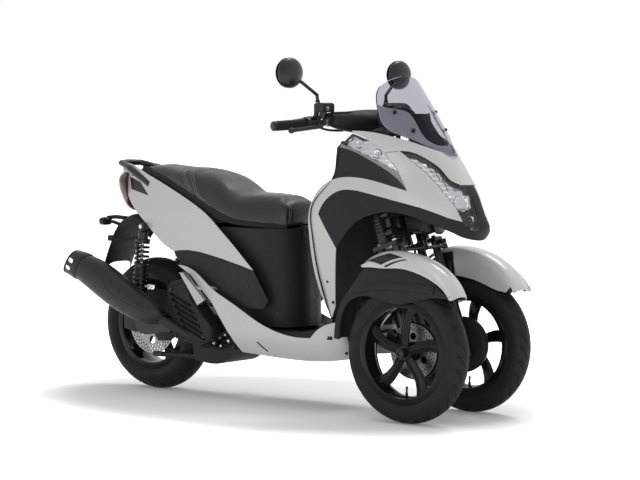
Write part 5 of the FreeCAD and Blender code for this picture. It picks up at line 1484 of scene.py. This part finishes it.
def make_fender_flank(side, word):
    """Inner flank of a fender: painted in front, dark behind."""
    piece = Piece("fender_flank_" + word, "paint")
    for finish, table in (("paint", ((47, 303, 268), (56, 316, 246), (66, 326, 240), (78, 334, 240),
                                     (90, 342, 244), (98, 348, 250))),
                          ("plastic", ((98, 338, 250), (108, 336, 246), (120, 330, 244), (132, 320, 244),
                                       (145, 308, 250)))):
        top, under = [], []
        for angle, high, low in table:
            a = math.radians(angle)
            row = []
            for share, w in ((0.0, -44), (0.12, -48), (0.4, -50.5), (0.7, -51), (1.0, -50)):
                r = high + (low - high) * share
                row.append(fore(r * math.cos(a), side * (192.5 + w), 250 + r * math.sin(a)))
            top.append(row)
            under.append([p + Vector((0, side * 0.0016, 0)) for p in row])
        piece.add(slab(top, under), finish)
    piece.done("fork_" + word, sharp=50.0)


BODY_SEAMS = ((("cowl_sides", "hood"), ((-118, 942), (-95, 946), (-74, 948)), FRONT_X),
              (("cowl_sides",), ((-66, 876), (-92, 907), (-118, 938)), FRONT_X),
              (("cowl_sides", "arch_covers"), ((-376, 726), (-345, 775), (-274, 810), (-216, 808),
                                               (-104, 783), (13, 752), (57, 736), (97, 720)), FRONT_X),
              (("rear_side_covers", "rear_lower_covers"),
               ((200, 554), (278, 561), (341, 557), (461, 538), (567, 516), (622, 503)), REAR_X))

BODY_SCREWS = (("lower_side_covers", -307, 221, FRONT_X, 0.006), ("cowl_sides", -334, 406, FRONT_X, 0.006),
               ("cowl_sides", -352, 480, FRONT_X, 0.005), ("rear_lower_covers", 600, 440, REAR_X, 0.006),
               ("rear_side_covers", -60, 840, REAR_X, 0.005), ("seat_base", 700, 340, REAR_X, 0.006))


def make_body_trim():
    piece = Piece("body_trim", "rubber")
    spots = []
    for side, _ in SIDES:
        for names, run, origin in BODY_SEAMS:
            piece.add(laid_strip(names, run, side, origin, 0.0018, 0.0002), "rubber")
        for name, x, z, origin, radius in BODY_SCREWS:
            spots.append((*on_side((name,), x, z, side, origin), radius))
        shares = np.linspace(0, 1, 6)
        vent = [(-690 + 45 * t, 240 - 33 * t) for t in shares]
        piece.add(pinned_strip(("lower_side_covers",), vent, side, FRONT_X, 0.008, 0.0006), "gloss_black")
        for k in range(3):
            slit = [(-165 + 24 * k + 22 * t, 884 - 12 * k - 28 * t) for t in shares]
            piece.add(pinned_strip(("side_panels",), slit, side, FRONT_X, 0.004, 0.0012), "plastic")
        edge = ((-290, 868), (-240, 868), (-140, 852), (-80, 836))
        piece.add(pinned_strip(("side_panels",), edge, side, FRONT_X, 0.003, 0.0012), "plastic")
        edge = ((206, 546), (280, 553), (345, 548), (465, 529), (560, 508), (606, 490))
        piece.add(pinned_strip(("rear_lower_covers",), edge, side, REAR_X, 0.008, 0.0014), "plastic")
    piece.screw(spots, "black_steel")
    piece.done("chassis")


BOARD_TOP = 0.33


def make_floor_mats():
    """Ribbed rubber on the foot boards."""
    piece = Piece("floor_ribs", "rubber")
    for side, _ in SIDES:
        for k in range(9):
            x = -400 - 28 * k
            run = [on_top(("floor_cover",), x, side * y, FRONT_X) for y in np.linspace(70, 150, 7)]
            run = [hit for hit in run if hit[0].z < BOARD_TOP]
            if len(run) > 2:
                piece.add(strip(run, 0.010, 0.0025), "rubber")
    piece.done("chassis")


# Drive and rear end

def make_rear_shocks():
    piece = Piece("coil_shocks", "enamel")
    plan = coil_plan()
    for side, _ in SIDES:
        low, high = back(0, side * 118, 330), back(26, side * 118, 642)
        along = (high - low).normalized()
        length = (high - low).length
        turn = along.to_track_quat("Z", "Y").to_matrix().to_4x4()
        coil = grown(blank(), plan, Turns=10.5, Radius=0.0248, Height=length * 0.60, Wire=0.0052,
                     Material=FINISHES["spring"])
        piece.add_mesh(coil, "spring", Matrix.Translation(low + along * (length * 0.22)) @ turn)
        piece.add(lathe([(0.0, 0.0), (0.011, 0.0), (0.011, length * 0.14), (0.018, length * 0.15),
                         (0.018, length * 0.50), (0.0175, length * 0.505), (0.0, length * 0.505)], low,
                        along, 28), "enamel")
        piece.add(lathe([(0.0, length * 0.5), (0.0065, length * 0.5), (0.0065, length * 0.86),
                         (0.0, length * 0.86)], low, along, 20), "steel")
        for share in (0.2, 0.83):
            seat = low + along * (length * share)
            piece.turned("enamel", [(0, -4), (29.5, -4), (30.5, 0), (29.5, 4), (0, 4)], seat, along, 36)
        piece.add(lathe([(0.0, length * 0.84), (0.020, length * 0.84), (0.020, length * 0.93),
                         (0.011, length * 0.95), (0.011, length), (0.0, length)], low, along, 28), "enamel")
        for end in (low, high):
            piece.turned("enamel", [(0, -13), (14, -13), (15, -10), (15, 10), (14, 13), (0, 13)], end,
                         (0, 1, 0), 24)
            piece.turned("steel", [(0, 13), (8.5, 13), (8.5, 20), (0, 20)], end, (0, side, 0), 6)
    piece.done("chassis", ["rear_shocks"])


def make_muffler_details():
    piece = Piece("muffler_details", "muffler")
    edge = ((-62, 462), (-58, 430), (-40, 400), (0, 376), (60, 352), (120, 330), (150, 318))
    run = [on_side(("muffler",), x, z, -1, REAR_X)[0] for x, z in edge]
    piece.add(nearest_strip("muffler", run, 0.01, 0.006, 0.0016), "muffler")
    spots = []
    for x, z, radius in ((16, 398, 0.007), (110, 352, 0.006), (-30, 440, 0.005)):
        spots.append((*on_side(("muffler",), x, z, -1, REAR_X), radius))
    piece.screw(spots, "black_steel")
    axis = (back(-240, 0, 490) - back(-206, 0, 478)).normalized()
    rise = math.radians(31)
    up = (math.sin(rise), 0, math.cos(rise))
    count = 40
    for x, z, wide in ((-214, 481, 44.5), (-266, 497, 40.5)):
        middle = back(x, -208, z)
        ring = rounded_ring(middle, (0, 1, 0), up, wide * MM, (wide + 12) * MM, corner=0.8, count=count)
        thick = [middle + (p - middle) * 1.03 for p in ring]
        rings = [ring, thick, [p + axis * 0.004 for p in thick], [p + axis * 0.003 for p in ring]]
        points, faces = stacked(rings, capped=False)
        for k in range(count):
            m = (k + 1) % count
            faces.append((3 * count + k, 3 * count + m, m, k))
        piece.add((points, faces), "gloss_black")
    piece.done("chassis")


def make_radiator_core():
    """The fins seen through the guard, and the guard's rim, bolts and bosses."""
    piece = Piece("radiator_core", "casting")
    fins = grown(blank(), bar_plan(), Count=16, Step=(0.0062, 0.0, -0.0112), Size=(0.112, 0.003, 0.0016),
                 Turn=(0.0, math.radians(22.0), 0.0), Material=FINISHES["casting"])
    fins.transform(Matrix.Translation(back(255, -156.4, 392)))
    piece.add_mesh(fins, "casting")
    spots = []
    for x, z, radius in ((214, 410, 0.007), (372, 238, 0.008), (262, 238, 0.005), (300, 398, 0.005)):
        spot, normal = on_side(("radiator_guard",), x, z, -1, REAR_X)
        spots.append((spot, normal, radius))
        piece.add(lathe([(0.0, -0.002), (radius * 1.9, -0.002), (radius * 1.8, 0.0018), (0.0, 0.002)], spot,
                        normal, 24), "plastic")
    piece.screw(spots, "black_steel", "hex")
    rim = ((205, 420), (280, 440), (318, 372), (415, 276), (410, 236), (358, 212), (244, 232), (204, 368),
           (205, 420))
    piece.add(laid_strip(("radiator_guard",), rim, -1, REAR_X, 0.006, 0.003), "plastic")
    piece.done("chassis")


def make_side_walls():
    """Dark inner walls behind the side covers, and the arm cover between the silencer and the rear wheel."""
    piece = Piece("inner_walls", "plastic")
    wall = ((232, 478), (330, 520), (470, 470), (600, 420), (640, 380), (600, 330), (520, 320), (430, 330),
            (330, 400))
    for side, _ in SIDES:
        piece.add(stacked([[back(x, side * y, z) for x, z in wall] for y in (122, 124)]), "plastic")
    arm = ((214, 322), (196, 366), (150, 392), (70, 398), (-20, 392), (-90, 352), (-122, 300), (-124, 236),
           (-60, 222), (0, 230), (38, 222), (58, 196), (120, 200), (190, 240), (240, 280))
    plates = [[back(x, -y, z) for x, z in arm] for y in (70, 72)]
    plates.append([back(90 + (x - 90) * 0.95, -76, 322 + (z - 322) * 0.93) for x, z in arm])
    piece.add(stacked(plates), "casting")
    piece.done("chassis")


def make_engine_details():
    piece = Piece("engine_details", "casting")
    spots = []
    case = ((110, 300), (160, 330), (240, 330), (330, 300), (380, 260), (360, 215), (280, 200), (180, 205),
            (120, 240), (60, 262), (20, 280))
    for x, z in case:
        spot, normal = on_side(("drive_case",), x, z, 1, REAR_X)
        spots.append((spot, normal, 0.0055))
        piece.turned("casting", [(0, -4), (9, -4), (8, 2), (0, 2)], spot, normal, 18)
    piece.screw(spots, "steel", "hex")
    for radius, x in ((0.052, 300), (0.036, 0)):
        spot = on_side(("drive_case",), x, 262, 1, REAR_X)[0]
        piece.add(lathe([(0.0, -0.001), (radius, -0.001), (radius, 0.002), (radius - 0.004, 0.004),
                         (radius - 0.010, 0.004), (radius - 0.012, 0.002), (0.0, 0.003)], spot, (0, 1, 0),
                        48), "casting")
    for k in range(6):
        a = math.radians(200 + 28 * k)
        start, end = [Vector((300 + r * math.cos(a), 0, 262 + r * math.sin(a))) for r in (58, 78)]
        run = [(p.x, p.z) for p in evenly([start, end], 8.0)]
        piece.add(pinned_strip(("drive_case",), run, 1, REAR_X, 0.004, 0.0025), "casting")
    lower = []
    for x, z, radius in ((395, 214, 13), (424, 236, 10), (452, 250, 12), (430, 205, 9), (468, 226, 11)):
        lower.append((back(x, -128, z), Vector((0, -1, 0)), radius * 0.00045))
        piece.add(lathe([(0.0, 0.0), (radius * MM, 0.0), (radius * MM, -0.018), (radius * 0.8 * MM, -0.022),
                         (0.0, -0.023)], back(x, -105, z), (0, 1, 0), 20), "casting")
    piece.screw(lower, "steel", "hex")
    piece.add_mesh(tube([back(398, -112, 226), back(430, -126, 246), back(470, -118, 262),
                         back(505, -96, 300)], 0.009), "rubber")
    piece.add_mesh(tube([back(360, -100, 200), back(410, -118, 196), back(456, -112, 214),
                         back(500, -84, 240)], 0.0065), "rubber")
    piece.done("chassis")


def make_mudguard_trim():
    piece = Piece("mudguard_trim", "plastic")
    for z in (548, 520):
        run = [on_end(("rear_mudguard",), y, z, -1) for y in np.linspace(-62, 62, 9)]
        piece.add(strip(run, 0.006, 0.003), "plastic")
    for side, _ in SIDES:
        stay = ((-120, 62, 668), (-168, 70, 672), (-204, 74, 668))
        rings = [(back(x, side * y, z), 0.012, 0.008) for x, y, z in stay]
        piece.ringed("plastic", LEFTWARD, UPWARD, rings, count=12)
    piece.done("chassis")


SEAT_SKIRT = ((-36, 846, 60, 30), (20, 838, 74, 35), (110, 818, 93, 40), (205, 781, 112, 40),
              (290, 752, 126, 38), (345, 728, 133, 30), (400, 705, 139, 18), (460, 680, 142, 5),
              (520, 666, 140, 2), (600, 660, 129, 2), (680, 655, 111, 0), (722, 655, 92, 0))


def make_seat_rim():
    """Dark skirt that closes the gap between the cushion and the covers."""
    piece = Piece("seat_edge", "rubber")
    for side, _ in SIDES:
        sections = []
        for x, low, half, drop in SEAT_SKIRT:
            top, foot = low + 12.0, low - drop
            outline = ((half - 9, top + 18), (half + 0.5, top), (half + 2.5, top - 6), (half + 2.5, foot + 2),
                       (half, foot), (half - 2.5, foot + 2), (half - 3, top - 8), (half - 24, top + 14))
            sections.append([back(x, side * y, z) for y, z in outline])
        piece.add(stacked(sections), "rubber")
    piece.done("seat")


# Panel for the sizes and colours

def colour(name, description, default):
    return bpy.props.FloatVectorProperty(name=name, description=description, subtype="COLOR", size=3,
                                         min=0.0, max=1.0, default=default)


def length(name, description, default, low, high):
    return bpy.props.FloatProperty(name=name, description=description, unit="LENGTH", default=default,
                                   min=low, max=high)


class TrikeLook(bpy.types.PropertyGroup):
    """Colours of the finishes."""
    paint: colour("Body paint", "Colour of the painted body panels", (0.66, 0.66, 0.65))
    plastic: colour("Moulding", "Colour of the grained dark mouldings", (0.017, 0.017, 0.019))
    band: colour("Grey band", "Colour of the band under the indicators", (0.27, 0.28, 0.29))
    vinyl: colour("Seat vinyl", "Colour of the seat cover", (0.017, 0.017, 0.020))
    thread: colour("Thread", "Colour of the stitches", (0.4, 0.4, 0.42))
    smoke: colour("Screen tint", "Colour of the smoked screen", (0.47, 0.48, 0.53))


class TrikeTread(bpy.types.PropertyGroup):
    """Sizes of the tyre tread."""
    depth: length("Groove depth", "Depth of the tread grooves", 0.003, 0.0, 0.006)
    groove: length("Groove width", "Half width of the main grooves", 0.0042, 0.001, 0.01)
    pitch: bpy.props.IntProperty(name="Repeats",
                                 description="How often the tread pattern repeats round the tyre",
                                 default=28, min=8, max=60)


class TrikeSeat(bpy.types.PropertyGroup):
    """Sizes of the padded seat."""
    slack: length("Slack", "How far the cover starts inside its final form", 0.004, 0.0, 0.02)
    grid: length("Grid", "Edge length of the cover's grid", 0.006, 0.003, 0.02)
    swell: length("Swell", "Furthest that the filling pushes the cover out", 0.006, 0.0, 0.03)
    seam_depth: length("Seam depth", "How deep the seams sink into the padding", 0.003, 0.0, 0.01)
    stitch: length("Stitch", "Length of one stitch", 0.0045, 0.001, 0.02)


class TrikeStage(bpy.types.PropertyGroup):
    """Floor, light and background."""
    floor_size: length("Floor", "Edge length of the floor", 120.0, 1.0, 1000.0)
    floor_colour: colour("Floor colour", "Colour of the studio floor", (0.92, 0.92, 0.92))
    # The floor near the object glows less than the floor far off, a painted shade round the object.
    floor_glow: bpy.props.FloatProperty(name="Floor glow",
                                        description="How much the floor near the object is brightened",
                                        default=0.12, min=0.0, max=1.0)
    sky_strength: bpy.props.FloatProperty(name="Soft light",
                                          description="Strength of the light from all round", default=0.55,
                                          min=0.0, max=2.0)
    key_power: bpy.props.FloatProperty(name="Key lamp", description="Power of the large lamp overhead",
                                       unit="POWER", default=150.0, min=0.0)
    fill_power: bpy.props.FloatProperty(name="Fill lamp", description="Power of the lamp beside the camera",
                                        unit="POWER", default=30.0, min=0.0)


class TRIKE_OT_stage(bpy.types.Operator):
    """Places the camera, the floor and the soft studio light"""
    bl_idname = "trike.stage"
    bl_label = "Set the stage"

    def execute(self, context):
        stage = context.scene.trike_stage
        context.scene.view_settings.view_transform = "Standard"
        make_camera()
        make_floor(stage)
        make_world(stage)
        make_lamp("Key lamp", (0.6, 3.4, 6.2), (0.0, 0.0, 0.5), (2.6, 2.0), stage.key_power)
        make_lamp("Fill lamp", (2.4, -5.0, 1.5), (0.0, 0.0, 0.7), (3.0, 2.0), stage.fill_power)
        return {"FINISHED"}


class TRIKE_OT_finishes(bpy.types.Operator):
    """Mixes the finishes and gives each solid part its own"""
    bl_idname = "trike.finishes"
    bl_label = "Mix the finishes"

    def execute(self, context):
        look = context.scene.trike_look
        mix_painted(look)
        mix_metals()
        mix_soft(look)
        mix_clear(look)
        finish_nodes()
        return {"FINISHED"}


class TRIKE_OT_wheels(bpy.types.Operator):
    """Makes the treaded tyres, the cast wheels and the drilled discs"""
    bl_idname = "trike.wheels"
    bl_label = "Wheels"

    def execute(self, context):
        tread = context.scene.trike_tread
        for side, word in SIDES:
            centre = Vector((FRONT_X, side * WHEEL_Y, FRONT_TYRE_R))
            body = "wheel_front_" + word
            make_tyre("tyre_front_" + word, body, centre, FRONT_TYRE_R, FRONT_TYRE_WIDTH, FRONT_RIM_R, tread)
            make_rim("rim_front_" + word, body, centre, FRONT_RIM_R, FRONT_TYRE_WIDTH, side, 0.030, 268.0)
            low = side * (WHEEL_Y - 0.030) - (DISC_THICKNESS if side > 0 else 0.0)
            make_disc("disc_front_" + word, body, centre, FRONT_DISC_R, low, "disc_front")
        centre = Vector((REAR_X, 0, REAR_TYRE_R))
        make_tyre("tyre_rear", "wheel_rear", centre, REAR_TYRE_R, REAR_TYRE_WIDTH, REAR_RIM_R, tread)
        make_rim("rim_rear", "wheel_rear", centre, REAR_RIM_R, REAR_TYRE_WIDTH, -1, 0.040, 300.0)
        make_disc("disc_rear", "wheel_rear", centre, REAR_DISC_R, -0.044, "disc_rear")
        return {"FINISHED"}


class TRIKE_OT_seat(bpy.types.Operator):
    """Pads and stitches the two-level seat"""
    bl_idname = "trike.seat"
    bl_label = "Seat"

    def execute(self, context):
        make_seat(context.scene.trike_seat)
        make_seat_rim()
        return {"FINISHED"}


class TRIKE_OT_lamps(bpy.types.Operator):
    """Fills the headlight, the indicators and the tail lamp"""
    bl_idname = "trike.lamps"
    bl_label = "Lamps"

    def execute(self, context):
        make_head_lamps()
        make_indicator_insides()
        make_tail_details()
        return {"FINISHED"}


class TRIKE_OT_bar(bpy.types.Operator):
    """Adds the screen's fittings, the meter face, grips, levers and mirror glass"""
    bl_idname = "trike.bar"
    bl_label = "Screen and bar"

    def execute(self, context):
        make_screen_fittings()
        make_screen_throat()
        make_meter_face()
        make_bar_details()
        make_mirrors()
        return {"FINISHED"}


class TRIKE_OT_front(bpy.types.Operator):
    """Adds seals, bolts, hoses and covers to the forks and the linkage"""
    bl_idname = "trike.front"
    bl_label = "Front suspension"

    def execute(self, context):
        for side, word in SIDES:
            make_fork_details(side, word)
            make_fender_trim(side, word)
            make_fender_flank(side, word)
        make_linkage_details()
        return {"FINISHED"}


class TRIKE_OT_trim(bpy.types.Operator):
    """Adds seams, screws, vents and the foot boards' rubber"""
    bl_idname = "trike.trim"
    bl_label = "Body trim"

    def execute(self, context):
        make_body_trim()
        make_floor_mats()
        make_mudguard_trim()
        return {"FINISHED"}


class TRIKE_OT_drive(bpy.types.Operator):
    """Makes the coil shocks and the fine pieces of engine, radiator and muffler"""
    bl_idname = "trike.drive"
    bl_label = "Drive"

    def execute(self, context):
        make_rear_shocks()
        make_muffler_details()
        make_radiator_core()
        make_side_walls()
        make_engine_details()
        return {"FINISHED"}


OPERATORS = (TRIKE_OT_stage, TRIKE_OT_finishes, TRIKE_OT_wheels, TRIKE_OT_seat, TRIKE_OT_lamps,
             TRIKE_OT_bar, TRIKE_OT_front, TRIKE_OT_trim, TRIKE_OT_drive)
GROUPS = (("trike_look", TrikeLook), ("trike_tread", TrikeTread), ("trike_seat", TrikeSeat),
          ("trike_stage", TrikeStage))


class TRIKE_PT_panel(bpy.types.Panel):
    """Sizes, colours and pieces of the trike"""
    bl_idname = "TRIKE_PT_panel"
    bl_label = "Trike"
    bl_space_type = "VIEW_3D"
    bl_region_type = "UI"
    bl_category = "Trike"

    def draw(self, context):
        for title, group in GROUPS:
            column = self.layout.column(align=True)
            for key in group.__annotations__:
                column.prop(getattr(context.scene, title), key)
        for operator in OPERATORS:
            self.layout.operator(operator.bl_idname)


def register():
    for title, group in GROUPS:
        bpy.utils.register_class(group)
        setattr(bpy.types.Scene, title, bpy.props.PointerProperty(type=group))
    for kind in OPERATORS + (TRIKE_PT_panel,):
        bpy.utils.register_class(kind)


def unregister():
    for kind in reversed(OPERATORS + (TRIKE_PT_panel,)):
        bpy.utils.unregister_class(kind)
    for title, group in reversed(GROUPS):
        delattr(bpy.types.Scene, title)
        bpy.utils.unregister_class(group)


def main():
    register()
    for operator in OPERATORS:
        group, name = operator.bl_idname.split(".")
        getattr(getattr(bpy.ops, group), name)()


if __name__ == "__main__":
    main()
